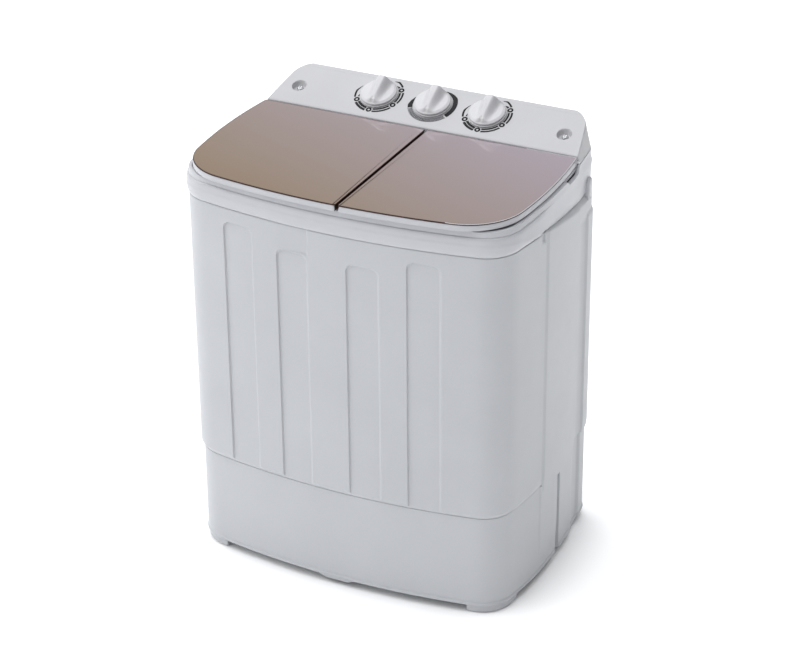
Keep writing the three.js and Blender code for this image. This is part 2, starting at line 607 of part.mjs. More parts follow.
function washMotorStand() {
  const { y, radius, z0 } = WASH_MOTOR;
  const x = PULSATOR.x;
  const plate = box(x - 60, x + 60, y - 50, y + 50, z0 - 4, z0 - GAP);
  const legs = [-1, 1].map((side) => box(x + side * 54 - 6, x + side * 54 + 6, y - 50, y + 50, 20 + GAP, z0 - 2));
  const opening = rodZ(x, y, radius * 0.35, 0, z0 + 1);
  return cut(join(plate, ...legs), opening);
}

const LINT_X = -95;

function lintChannel() {
  const y1 = WASH_TUB.y1 - WALL - GAP;
  const body = box(LINT_X - 40, LINT_X + 40, y1 - 26, y1, 300, 590);
  const slot = box(LINT_X - 34, LINT_X + 34, y1 - 20, y1 - 4, 306, 600);
  const mouth = box(LINT_X - 28, LINT_X + 28, y1 - 40, y1 - 15, 470, 580);
  const foot = box(LINT_X - 20, LINT_X + 20, y1 - 40, y1 - 15, 290, 340);
  return cut(body, slot, mouth, foot);
}

function lintFilter() {
  const y1 = WASH_TUB.y1 - WALL - GAP;
  const frame = box(LINT_X - 33, LINT_X + 33, y1 - 19, y1 - 5, 460, 586);
  const window = box(LINT_X - 26, LINT_X + 26, y1 - 30, y1 - 9, 474, 576);
  const handle = box(LINT_X - 12, LINT_X + 12, y1 - 19, y1 - 5, 585, 594);
  return join(cut(frame, window), handle);
}

function buildWashSide() {
  const { x } = PULSATOR;
  addPart('wash_tub', washTub(), TUB);
  addPart('pulsator', pulsator(), BLUE_PP);
  addPart('pulsator_shaft', rodZ(x, PULSATOR.y, 6, BELT_Z - 4, PULSATOR.z + 15, 16), STEEL);
  addPart('bearing_housing', bearingHousing(), CAST);
  addPart('drive_bracket', driveBracket(), ZINC);
  addPart('drive_pulley', pulley(x, PULSATOR.y, BIG_PULLEY_RADIUS, 14, 6.3), CAST);
  addPart('drive_belt', belt(), RUBBER);
  addPart('motor_pulley', pulley(x, WASH_MOTOR.y, SMALL_PULLEY_RADIUS, 9, 5.3), CAST);
  addPart('wash_motor', motorBody(x, WASH_MOTOR.y, WASH_MOTOR.radius, WASH_MOTOR.z0, WASH_MOTOR.z1, 5.4), MOTOR_PAINT);
  addPart('wash_motor_shaft', rodZ(x, WASH_MOTOR.y, 5, WASH_MOTOR.z1 - 19, BELT_Z + 16, 16), STEEL);
  addPart('wash_motor_stand', washMotorStand(), ZINC);
  addPart('lint_channel', lintChannel(), TUB);
  addPart('lint_filter', lintFilter(), BLUE_PP);
}

// ---------- spin side ----------
function spinOuterTub() {
  const { radius, floor, top } = SPIN_TUB;
  const shell = turned(SPIN_AXIS.x, SPIN_AXIS.y, [[22, floor], [radius, floor], [radius, top], [radius - WALL, top],
    [radius - WALL, floor + 4], [22, floor + 4]], 32);
  return cut(shell, rodZ(SPIN_DRAIN.x, SPIN_DRAIN.y, DRAIN_BORE, 150, 190));
}

function spinBasket() {
  const { radius, wall: thick, floor, top } = BASKET;
  return turned(SPIN_AXIS.x, SPIN_AXIS.y, [[5.3, floor - 6], [22, floor - 6], [30, floor], [radius - 6, floor], [radius, floor + 8],
    [radius, top - 8], [radius + 3, top - 6], [radius + 3, top], [radius - 6, top],
    [radius - thick, top - 10], [radius - thick, floor + 10], [radius - 10, floor + 3], [34, floor + 6],
    [14, floor + 34], [5.3, floor + 34]], 24);
}

function spinShaft() {
  return rodZ(SPIN_AXIS.x, SPIN_AXIS.y, 5, SPIN_MOTOR.z1 - 19, BASKET.floor + 40, 16);
}

function brakeDrum() {
  const { radius, z0, z1 } = DRUM;
  return turned(SPIN_AXIS.x, SPIN_AXIS.y, [[5.3, z0], [radius, z0], [radius, z1], [radius - 4, z1], [radius - 4, z0 + 4],
    [14, z0 + 4], [14, z1], [5.3, z1]]);
}

// A rubber boot between the spin shaft and the outer tub's floor.
function shaftBoot() {
  const floor = SPIN_TUB.floor;
  return turned(SPIN_AXIS.x, SPIN_AXIS.y, [[6, floor - 18], [12, floor - 18], [12, floor - 12], [18, floor - 8], [13, floor - 4],
    [19, floor], [19, floor + 7], [24, floor + 7], [24, floor + 10], [6, floor + 10], [6, floor + 6], [14, floor + 4],
    [8, floor - 4], [12, floor - 8], [6, floor - 12]], 16);
}

function damper(angle) {
  const x = SPIN_AXIS.x + 58 * Math.cos(angle);
  const y = SPIN_AXIS.y + 58 * Math.sin(angle);
  const folds = [0, 1, 2].flatMap((k) => [[13, 24 + 6 * k], [9, 27 + 6 * k]]);
  return turned(x, y, [[0, 20 + GAP], [13, 20 + GAP], ...folds, [13, 44 - GAP], [0, 44 - GAP]], 16);
}

// The spin motor stands on its dampers by a broad flange.
function spinMotor() {
  const { radius, z0, z1 } = SPIN_MOTOR;
  const flange = rodZ(SPIN_AXIS.x, SPIN_AXIS.y, 73, 44, z0 + 2, 24);
  return join(motorBody(SPIN_AXIS.x, SPIN_AXIS.y, radius, z0, z1, 5.4), flange);
}

// A bell-crank whose pad swings against the drum when the spin lid opens.
function brakeLever() {
  const arm = box(BRAKE.pivotX - 5, BRAKE.pivotX + 5, BRAKE.pivotY, BRAKE.pivotY + 72, BRAKE.z, BRAKE.z + 6);
  const eye = rodZ(BRAKE.pivotX, BRAKE.pivotY, 9, BRAKE.z, BRAKE.z + 6, 16);
  const pad = box(SPIN_AXIS.x + DRUM.radius + 5, BRAKE.pivotX - 4, SPIN_AXIS.y - 6, SPIN_AXIS.y + 6, BRAKE.z - 2, BRAKE.z + 8);
  return cut(join(arm, eye, pad), rodZ(BRAKE.pivotX, BRAKE.pivotY, 4.3, BRAKE.z - 5, BRAKE.z + 12, 12));
}

function buildSpinSide() {
  addPart('spin_outer_tub', spinOuterTub(), TUB);
  addPart('spin_basket', spinBasket(), BLUE_PP);
  addPart('spin_shaft', spinShaft(), STEEL);
  addPart('brake_drum', brakeDrum(), CAST);
  addPart('shaft_boot', shaftBoot(), RUBBER);
  addPart('spin_motor', spinMotor(), MOTOR_PAINT);
  for (const [name, turn] of [['damper_front', -Math.PI / 2], ['damper_left', Math.PI * 5 / 6], ['damper_right', Math.PI / 6]]) {
    addPart(name, damper(turn), RUBBER);
  }
  addPart('brake_lever', brakeLever(), ZINC);
}

// ---------- drain and electrics ----------
function valveBody() {
  const { x, y, z0, z1, radius } = VALVE;
  const shell = rodZ(x, y, radius, z0, z1);
  const chamber = rodZ(x, y, radius - WALL, z0 + 4, z1 - 4);
  const stemHole = rodZ(x, y, 4.3, z1 - 6, z1 + 5, 12);
  const outlet = rodY(y + 12, 180, x, VALVE.outletZ, 11, 16);
  const outletBore = rodY(y, 190, x, VALVE.outletZ, 8, 16);
  const inlets = rodX(x - radius - 11, x + radius + 11, y, VALVE.inletZ, 11, 16);
  const inletBore = rodX(x - 60, x + 60, y, VALVE.inletZ, 8, 16);
  return cut(join(shell, outlet, inlets), chamber, stemHole, outletBore, inletBore);
}

// A drain pipe from a tub's floor down to one side of the valve.
function drainPipe(start, floor, side) {
  const end = VALVE.x + side * (VALVE.radius + 11 + GAP);
  const route = (over) => [
    [start.x, start.y, floor - GAP + over], [start.x, start.y, floor - 24],
    [(start.x + end + side * 40) / 2, (start.y + VALVE.y) / 2, (floor + VALVE.inletZ) / 2],
    [end + side * 24, VALVE.y, VALVE.inletZ], [end - side * over, VALVE.y, VALVE.inletZ],
  ];
  return cut(tube(route(0), 11, 12), tube(route(3), DRAIN_BORE, 12));
}

function valvePlug() {
  return turned(VALVE.x, VALVE.y, [[0, 74], [12, 74], [15, 80], [15, 86], [6, 90], [3, 94], [3, 136], [6, 136], [6, 142], [0, 142]], 16);
}

function buildServices() {
  addPart('drain_valve_body', valveBody(), BLACK_PLASTIC);
  addPart('drain_valve_plug', valvePlug(), RUBBER);
  addPart('wash_drain_pipe', drainPipe(WASH_DRAIN, WASH_TUB.floor, -1), RUBBER);
  addPart('spin_drain_pipe', drainPipe(SPIN_DRAIN, SPIN_TUB.floor, 1), RUBBER);
  addPart('drain_outlet_spigot', spigot(SPIGOT, 180.5, 204, 11), WHITE);
  addPart('capacitor', rodZ(-20, 150, 20, 20 + GAP, 90, 20), BLACK_PLASTIC);
}

buildCabinet();
buildTop();
buildControls();
buildWashSide();
buildSpinSide();
buildServices();

export default machine;
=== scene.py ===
import math

import bpy
import numpy as np
from mathutils import Matrix, Vector


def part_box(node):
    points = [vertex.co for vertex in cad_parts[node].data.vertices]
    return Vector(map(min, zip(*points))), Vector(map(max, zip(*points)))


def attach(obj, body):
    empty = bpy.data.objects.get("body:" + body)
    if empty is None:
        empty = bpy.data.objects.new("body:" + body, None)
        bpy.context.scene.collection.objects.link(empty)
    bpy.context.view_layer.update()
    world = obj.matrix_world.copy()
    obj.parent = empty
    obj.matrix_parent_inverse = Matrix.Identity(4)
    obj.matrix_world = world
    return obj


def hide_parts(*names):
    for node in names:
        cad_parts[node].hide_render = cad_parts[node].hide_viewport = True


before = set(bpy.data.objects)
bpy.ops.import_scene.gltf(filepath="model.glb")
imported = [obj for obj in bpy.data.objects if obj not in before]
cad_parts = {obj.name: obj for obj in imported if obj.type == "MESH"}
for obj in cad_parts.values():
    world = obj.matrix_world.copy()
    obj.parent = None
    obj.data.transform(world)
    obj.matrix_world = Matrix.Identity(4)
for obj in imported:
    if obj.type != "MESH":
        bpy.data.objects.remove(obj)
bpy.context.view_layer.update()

# A portable twin-tub washing machine: wash tub on the left, spin dryer on the right.
# Sizes are in millimetres along the frame's axes, and mesh_object turns them into metres.
MM = 0.001


def span(node):
    """Lowest and highest corner of a CAD node, in millimetres."""
    low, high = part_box(node)
    return np.array(low) / MM, np.array(high) / MM


# ---------- driving sizes ----------
SKIRT_BOTTOM = span("base_skirt")[0][2]
STEP_Z = span("base_skirt")[1][2]
SHELL_TOP = span("cabinet_shell")[1][2]
COLLAR_TOP = 681.0
FOOT_TOP = span("foot_front_left")[1][2]
LID_BOTTOM, LID_TOP = span("wash_lid_tray")[0][2], span("wash_lid_window")[1][2]
WINDOW_BOTTOM = span("wash_lid_window")[0][2]
SEAM_LEFT, SEAM_RIGHT = span("wash_lid_window")[1][0], span("spin_lid_window")[0][0]
DECK_TOP = 679.0
STEP_CHAMFER = 9.0
SKIRT_INSET = 4.8
WALL = 3.0
GAP = 0.5
GROOVES = [(-167.8, 616.0), (-67.8, 594.0), (54.2, 594.0), (154.2, 616.0)]
GROOVE_HALF, GROOVE_CORNER, GROOVE_DEPTH = 28.0, 13.0, 3.0
SIDE_PANEL_DROP = 13
SIDE_PANEL = (-31.0, 106.0)
REAR_STRIP = (150.0, 184.0)
CONSOLE_FRONT, CONSOLE_SLOPE = 114.6, math.radians(22)
KNOB_UP_SLOPE = 54.0
KNOB_X = {"wash": -95.5, "selector": 1.5, "spin": 98.5}
SCREW_X, SCREW_UP = 237.0, 41.7


# ---------- small maths ----------
def smooth(t):
    """0 below 0, 1 above 1, and a soft S between."""
    t = np.clip(t, 0, 1)
    return t * t * (3 - 2 * t)


def rounded_box(u, v, half_u, half_v, radius):
    """Signed distance to a rounded rectangle, negative inside."""
    qu, qv = np.abs(u) - half_u + radius, np.abs(v) - half_v + radius
    return np.hypot(np.maximum(qu, 0), np.maximum(qv, 0)) + np.minimum(np.maximum(qu, qv), 0) - radius


def inside(distance, edge):
    """1 inside a shape and 0 outside it, over a soft edge of that width."""
    return smooth(0.5 - distance / edge)


def between(value, low, high, edge):
    """1 between two values and 0 outside them, with soft edges."""
    return inside(np.maximum(low - value, value - high), edge)


class Plan:
    """An outline seen from above: bowed front and sides, round corners and a straight back.

    Its stations run from 0 at the middle of the front, positive to the right and negative to the left.
    """

    def __init__(self, half_width, front, back, widest_y, front_radius, side_radius, corner, back_corner):
        self.front_centre = np.array([0, front + front_radius])
        self.side_centre = np.array([half_width - side_radius, widest_y])
        corner_centre = self._lower_crossing(front_radius - corner, side_radius - corner)
        front_end = math.atan2(*(corner_centre - self.front_centre)[::-1])
        self.side_start = math.atan2(*(corner_centre - self.side_centre)[::-1])
        back_y = back - back_corner
        back_x = self.side_centre[0] + math.sqrt((side_radius - back_corner) ** 2 - (back_y - widest_y) ** 2)
        side_end = math.atan2(back_y - widest_y, back_x - self.side_centre[0])
        self.arcs = [
            (self.front_centre, front_radius, -math.pi / 2, front_end),
            (corner_centre, corner, front_end, self.side_start),
            (self.side_centre, side_radius, self.side_start, side_end),
            (np.array([back_x, back_y]), back_corner, side_end, math.pi / 2),
        ]
        self.starts = np.cumsum([0] + [r * (b - a) for _, r, a, b in self.arcs])
        self.back, self.back_x = back, back_x
        self.length = self.starts[-1] + back_x

    def _lower_crossing(self, ra, rb):
        """The lower point at distance ra from the front's centre and rb from the side's."""
        gap = self.side_centre - self.front_centre
        reach = np.hypot(*gap)
        along = (ra ** 2 - rb ** 2 + reach ** 2) / (2 * reach)
        aside = math.sqrt(ra ** 2 - along ** 2)
        unit = gap / reach
        normal = np.array([-unit[1], unit[0]])
        middle = self.front_centre + unit * along
        return min(middle + normal * aside, middle - normal * aside, key=lambda p: p[1])

    def at(self, stations):
        """Points and outward normals at the stations."""
        s = np.abs(stations)
        points, normals = np.zeros((len(s), 2)), np.zeros((len(s), 2))
        for k, (centre, radius, start, _) in enumerate(self.arcs):
            on = (s >= self.starts[k]) & (s <= self.starts[k + 1])
            angle = start + (s[on] - self.starts[k]) / radius
            normals[on] = np.column_stack([np.cos(angle), np.sin(angle)])
            points[on] = centre + radius * normals[on]
        straight = s > self.starts[-1]
        points[straight] = np.column_stack([self.back_x - (s[straight] - self.starts[-1]),
                                            np.full(straight.sum(), self.back)])
        normals[straight] = (0, 1)
        flip = np.where(stations < 0, -1, 1)
        points[:, 0] *= flip
        normals[:, 0] *= flip
        return points, normals

    def station_of_x(self, x):
        """The station on the front at that x."""
        return self.arcs[0][1] * math.asin(x / self.arcs[0][1])

    def station_of_y(self, y):
        """The station on the right side at that y."""
        radius = self.arcs[2][1]
        return self.starts[2] + radius * (math.asin((y - self.side_centre[1]) / radius) - self.side_start)


CABINET = Plan(290, -198, 198, 0, 1250, 1200, 60, 25)
LID = Plan(286, -206, 111, -10, 1320, 908, 95, 3)
CONSOLE = Plan(285.3, -198, 205.7, 0, 1250, 1200, 60, 34)
CONSOLE_LEAN = 0.244


def stations(start, stop, step, marks, reach=3.0, fine=0.5):
    """Even stations, with fine ones about each mark."""
    every = [np.arange(start, stop, step)]
    every += [mark + np.arange(-reach, reach + fine / 2, fine) for mark in marks]
    every = np.unique(np.round(np.concatenate(every), 3))
    every = every[(every >= start) & (every < stop)]
    return every[np.concatenate([[True], np.diff(every) > fine * 0.45])]


# ---------- meshes ----------
def mesh_object(name, points, faces, shade_smooth=True):
    mesh = bpy.data.meshes.new(name)
    mesh.from_pydata((np.asarray(points, float) * MM).tolist(), [], faces)
    mesh.polygons.foreach_set("use_smooth", [shade_smooth] * len(mesh.polygons))
    mesh.update()
    obj = bpy.data.objects.new(name, mesh)
    bpy.context.scene.collection.objects.link(obj)
    return obj


def quads(rows, columns, close_rows=False, close_columns=False, start=0):
    """Quads over a grid of points that lie row after row."""
    r = np.arange(rows if close_rows else rows - 1)
    c = np.arange(columns if close_columns else columns - 1)
    r, c = (a.ravel() for a in np.meshgrid(r, c, indexing="ij"))
    r2, c2 = (r + 1) % rows, (c + 1) % columns
    grid = np.column_stack([r * columns + c, r * columns + c2, r2 * columns + c2, r2 * columns + c])
    return (grid + start).tolist()


def wrap(plan, along, inset, z):
    """A grid of points round a plan; inset and z have one row for each level and a column for each station."""
    points, normals = plan.at(along)
    xy = points[None] - normals[None] * inset[..., None]
    return np.dstack([xy, z])


def ring_object(name, plan, along, inset, z):
    """A closed band round a plan, whose section is the loop of rows."""
    inset, z = np.broadcast_arrays(inset, z)
    grid = wrap(plan, along, inset, z)
    return mesh_object(name, grid.reshape(-1, 3), quads(*grid.shape[:2], True, True))


def capped_loft(name, rings, cap_smooth=False):
    """A solid through closed rings of points, with a flat face on its first and last ring."""
    rings = np.asarray(rings, float)
    count, around = rings.shape[:2]
    faces = quads(count, around, False, True)
    faces.append(list(range(around))[::-1])
    faces.append(list(range((count - 1) * around, count * around)))
    obj = mesh_object(name, rings.reshape(-1, 3), faces)
    for face in list(obj.data.polygons)[-2:]:
        face.use_smooth = cap_smooth
    return obj


def revolve(name, profile, x=0.0, y=0.0, sides=96):
    """A body of revolution about Z through (x, y); the profile is a closed loop of (radius, z)."""
    turn = np.linspace(0, 2 * math.pi, sides, endpoint=False)
    profile = np.asarray(profile, float)
    rows = [np.column_stack([x + r * np.cos(turn), y + r * np.sin(turn), np.full(sides, z)]) for r,
            z in profile]
    grid = np.asarray(rows)
    return mesh_object(name, grid.reshape(-1, 3), quads(*grid.shape[:2], True, True))


def rounded_profile(corners, radius=1.0, steps=4):
    """A closed loop of corners with each one rounded; a corner may carry its own radius."""
    loop = []
    for k, here in enumerate(corners):
        r = here[2] if len(here) > 2 else radius
        p = np.array(here[:2], float)
        a = np.array(corners[k - 1][:2], float) - p
        b = np.array(corners[(k + 1) % len(corners)][:2], float) - p
        la, lb = np.hypot(*a), np.hypot(*b)
        reach = min(r, la * 0.48, lb * 0.48)
        if reach < 0.02:
            loop.append(p)
            continue
        start, end = p + a / la * reach, p + b / lb * reach
        for t in np.linspace(0, 1, steps + 1):
            loop.append((1 - t) ** 2 * start + 2 * t * (1 - t) * p + t ** 2 * end)
    return np.array(loop)


def join_meshes(name, objects):
    """One object out of several."""
    points, faces, flags = [], [], []
    start = 0
    for obj in objects:
        points += [tuple(obj.matrix_world @ v.co / MM) for v in obj.data.vertices]
        faces += [[start + i for i in f.vertices] for f in obj.data.polygons]
        flags += [f.use_smooth for f in obj.data.polygons]
        start += len(obj.data.vertices)
        bpy.data.objects.remove(obj)
    joined = mesh_object(name, points, faces)
    joined.data.polygons.foreach_set("use_smooth", flags)
    return joined


def finish_piece(obj, body, material, *nodes, slot=None):
    """Gives a piece its material and body, and lets it stand for its CAD nodes."""
    obj.data.materials.clear()
    obj.data.materials.append(material)
    obj.data.set_sharp_from_angle(angle=math.radians(38))
    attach(obj, body)
    if nodes:
        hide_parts(*nodes)
    return obj


# ---------- camera ----------
def make_camera():
    azimuth, elevation, roll = (math.radians(a) for a in (26.54, 27.91, -0.56))
    distance, aim_z, slide_right, slide_up = 4122.9, 350.0, 8.4, 29.7
    level = Vector((math.cos(azimuth), math.sin(azimuth), 0))
    back = Vector((math.sin(azimuth) * math.cos(elevation), -math.cos(azimuth) * math.cos(elevation),
                   math.sin(elevation)))
    upright = back.cross(level)
    right = level * math.cos(roll) + upright * math.sin(roll)
    up = upright * math.cos(roll) - level * math.sin(roll)
    data = bpy.data.cameras.new("camera")
    data.sensor_width, data.lens = 36, 113.6
    data.shift_x, data.shift_y = 0.0075, -0.0071
    camera = bpy.data.objects.new("camera", data)
    place = (Vector((0, 0, aim_z)) + right * slide_right + up * slide_up + back * distance) * MM
    camera.matrix_world = Matrix.Translation(place) @ Matrix((right, up, back)).transposed().to_4x4()
    bpy.context.scene.collection.objects.link(camera)
    bpy.context.scene.camera = camera
    data.clip_end = 100


# ---------- materials ----------
class Nodes:
    """A short way to build a material's node tree."""

    def __init__(self, name):
        self.material = bpy.data.materials.new(name)
        self.material.use_nodes = True
        self.tree = self.material.node_tree
        self.shader = self.tree.nodes["Principled BSDF"]
        self.place = self.add("ShaderNodeTexCoord").outputs["Object"]

    def add(self, kind, **inputs):
        node = self.tree.nodes.new(kind)
        for key, value in inputs.items():
            self.feed(node, key.replace("_", " "), value)
        return node

    def feed(self, node, key, value):
        socket = node.inputs[key]
        if isinstance(value, bpy.types.NodeSocket):
            self.tree.links.new(value, socket)
        else:
            socket.default_value = value

    def noise(self, scale, detail=3.0, roughness=0.55, stretch=None):
        place = self.place
        if stretch:
            place = self.add("ShaderNodeMapping", Vector=place, Scale=stretch).outputs["Vector"]
        node = self.add("ShaderNodeTexNoise", Vector=place, Scale=scale, Detail=detail, Roughness=roughness)
        return node.outputs["Fac"]

    def blend(self, factor, low, high):
        """A colour between two, by a factor from 0 to 1."""
        ramp = self.add("ShaderNodeValToRGB", Fac=factor)
        ramp.color_ramp.elements[0].color = (*low, 1)
        ramp.color_ramp.elements[1].color = (*high, 1)
        return ramp.outputs["Color"]

    def remap(self, value, low, high, from_low=0.0, from_high=1.0):
        node = self.add("ShaderNodeMapRange", Value=value)
        self.feed(node, "From Min", from_low)
        self.feed(node, "From Max", from_high)
        self.feed(node, "To Min", low)
        self.feed(node, "To Max", high)
        return node.outputs["Result"]

    def bump(self, height, distance, strength=1.0, below=None):
        node = self.add("ShaderNodeBump", Height=height, Distance=distance, Strength=strength)
        if below is not None:
            self.feed(node, "Normal", below)
        return node.outputs["Normal"]

    def edge_wear(self):
        """1 on convex edges, fading away from them."""
        geometry = self.add("ShaderNodeNewGeometry")
        return self.remap(geometry.outputs["Pointiness"], 0.0, 1.0, 0.52, 0.60)

    def set(self, **inputs):
        for key, value in inputs.items():
            self.feed(self.shader, key.replace("_", " "), value)
        return self.material


def moulded_plastic(name, colour, roughness, grain=0.00002, coat=0.0, wear=0.05):
    """Injection-moulded plastic: a fine pebble grain, slow flow marks, and edges rubbed a little smoother."""
    n = Nodes(name)
    flow = n.noise(7.0, 4.0, 0.6)
    low = tuple(c * 0.972 for c in colour)
    high = tuple(min(c * 1.02, 1) for c in colour)
    worn = n.edge_wear()
    rough = n.add("ShaderNodeMath", Value=n.remap(n.noise(45.0, 3.0), roughness - 0.05, roughness + 0.06))
    rough.operation = "SUBTRACT"
    n.tree.links.new(n.remap(worn, 0.0, wear), rough.inputs[1])
    pebble = n.noise(1900.0, 2.0)
    ripple = n.noise(22.0, 2.0)
    normal = n.bump(pebble, grain, 0.5, n.bump(ripple, 0.00012, 0.35))
    n.set(Base_Color=n.blend(n.remap(flow, 0.0, 1.0, 0.3, 0.7), low, high), Roughness=rough.outputs[0],
          Normal=normal, IOR=1.49)
    if coat:
        n.set(Coat_Weight=coat, Coat_Roughness=0.08)
    return n.material


def tinted_acrylic():
    """A bronze film behind clear acrylic, tan in front; its colour drifts to mauve at the rear right as a painted
    reflection of the bright studio.
    """
    n = Nodes("tinted_acrylic")
    # Painted reflection: the base colour runs with position over the lid, from the tan tint in front to a mauve
    # sheen at the rear right; the noise added to it is random tone.
    painted_reflection_drift = n.add("ShaderNodeVectorMath")
    painted_reflection_drift.operation = "DOT_PRODUCT"
    n.tree.links.new(n.place, painted_reflection_drift.inputs[0])
    painted_reflection_drift.inputs[1].default_value = (0.9, 2.0, 0)
    reflection_drift_and_cloud = n.add("ShaderNodeMath", Value=n.remap(n.noise(4.0, 2.0), -0.04, 0.04))
    n.tree.links.new(painted_reflection_drift.outputs["Value"], reflection_drift_and_cloud.inputs[1])
    tint_and_reflection_tone = n.remap(reflection_drift_and_cloud.outputs[0], 0.0, 1.0, -0.55, 0.45)
    flat = n.blend(tint_and_reflection_tone, (0.208, 0.137, 0.076), (0.335, 0.284, 0.320))
    fleck = n.noise(2600.0, 1.0)
    return n.set(Base_Color=flat, Roughness=n.remap(n.noise(120.0, 3.0), 0.04, 0.09),
                 Normal=n.bump(fleck, 0.000003, 0.2), IOR=1.5, Coat_Weight=0.6, Coat_Roughness=0.02)


def sheet_edge_and_shade():
    """The sawn and polished edge of the tinted sheet, where the film shows dark; the same dark material is also laid
    as painted shade: a dark outline round the sheet and the gap at the lids' seam.
    """
    n = Nodes("sheet_edge_and_shade")
    saw = n.noise(600.0, 2.0, stretch=(1.0, 1.0, 40.0))
    return n.set(Base_Color=n.blend(saw, (0.030, 0.014, 0.010), (0.055, 0.030, 0.022)),
                 Roughness=n.remap(saw, 0.3, 0.45), Normal=n.bump(saw, 0.00002, 0.3), Specular_IOR_Level=0.15)


def brushed_metal(name, colour, roughness, stretch=(1.0, 1.0, 30.0), metallic=1.0):
    """Drawn or turned metal: fine parallel scratches and a cloudy dulling."""
    n = Nodes(name)
    scratch = n.noise(900.0, 3.0, stretch=stretch)
    dull = n.noise(35.0, 4.0)
    colour_low = tuple(c * 0.8 for c in colour)
    return n.set(Base_Color=n.blend(n.remap(dull, 0.0, 1.0, 0.3, 0.7), colour_low, colour), Metallic=metallic,
                 Roughness=n.remap(scratch, roughness - 0.1, roughness + 0.12),
                 Normal=n.bump(scratch, 0.00002, 0.4))


def cast_metal(name, colour, roughness, metallic=1.0):
    """Cast or painted metal: an orange-peel skin with darker pits."""
    n = Nodes(name)
    pits = n.noise(260.0, 5.0, 0.65)
    low = tuple(c * 0.7 for c in colour)
    return n.set(Base_Color=n.blend(n.remap(pits, 0.0, 1.0, 0.35, 0.6), low, colour), Metallic=metallic,
                 Roughness=n.remap(n.noise(40.0), roughness - 0.08, roughness + 0.1),
                 Normal=n.bump(pits, 0.0002, 0.5))


def rubber(name, colour):
    """Matt moulded rubber with a dusty bloom."""
    n = Nodes(name)
    bloom = n.noise(25.0, 5.0)
    high = tuple(c * 1.9 + 0.006 for c in colour)
    return n.set(Base_Color=n.blend(n.remap(bloom, 0.0, 1.0, 0.4, 0.75), colour, high),
                 Roughness=n.remap(bloom, 0.62, 0.9), Normal=n.bump(n.noise(1200.0), 0.00003, 0.6))


def printed_ink(name, colour):
    """Screen-printed ink: a thin film with a faint mesh texture."""
    n = Nodes(name)
    film = n.noise(1500.0, 2.0)
    high = tuple(c * 1.4 + 0.004 for c in colour)
    return n.set(Base_Color=n.blend(film, colour, high), Roughness=n.remap(film, 0.42, 0.55),
                 Normal=n.bump(film, 0.00001, 0.4), Specular_IOR_Level=0.2)


def make_materials():
    white = (0.470, 0.480, 0.500)
    return {
        "shell": moulded_plastic("shell_white", white, 0.40),
        "top": moulded_plastic("top_white", (0.49, 0.495, 0.52), 0.36),
        "console": moulded_plastic("console_white", (0.48, 0.478, 0.49), 0.46),
        "base": moulded_plastic("base_white", white, 0.42),
        "knob": moulded_plastic("knob_white", (0.56, 0.556, 0.57), 0.33, grain=0.00001, coat=0.15),
        "tub": moulded_plastic("tub_white", (0.74, 0.76, 0.78), 0.3),
        "blue": moulded_plastic("pale_blue", (0.36, 0.46, 0.58), 0.35),
        "black": moulded_plastic("black_plastic", (0.022, 0.023, 0.026), 0.45),
        "tint": tinted_acrylic(),
        "sheet_edge_and_shade": sheet_edge_and_shade(),
        "steel": brushed_metal("bright_steel", (0.62, 0.63, 0.65), 0.3),
        "zinc": brushed_metal("zinc_plate", (0.50, 0.51, 0.53), 0.45, (1.0, 12.0, 1.0)),
        "cast": cast_metal("cast_alloy", (0.42, 0.43, 0.45), 0.5),
        "paint": cast_metal("motor_paint", (0.045, 0.05, 0.058), 0.5, 0.2),
        "rubber": rubber("black_rubber", (0.014, 0.015, 0.017)),
        "ink": printed_ink("dial_ink", (0.003, 0.003, 0.004)),
        "grey_ink": printed_ink("dial_grey_ink", (0.045, 0.045, 0.05)),
    }


# ---------- cabinet ----------
def side_only(points):
    """1 on the left and right sides, 0 on the front and back."""
    return between(points[:, 1], -150.0, 190.0, 4.0)


def seam_height(y):
    """Height of the joint between cabinet and collar: level in front, falling along the sides."""
    front_z, notch_z, rear_z = SHELL_TOP, 633.0, 613.0
    drop = front_z - (front_z - notch_z) * smooth((y + 130) / 95)
    return drop - (notch_z - rear_z) * np.clip((y + 27) / 165, 0, 1)


def skirt_inset(y):
    """How far the skirt stands inside the shell: full in front, a fifth of it on the sides."""
    return SKIRT_INSET * (1 - 0.8 * smooth((y + 150) / 110))


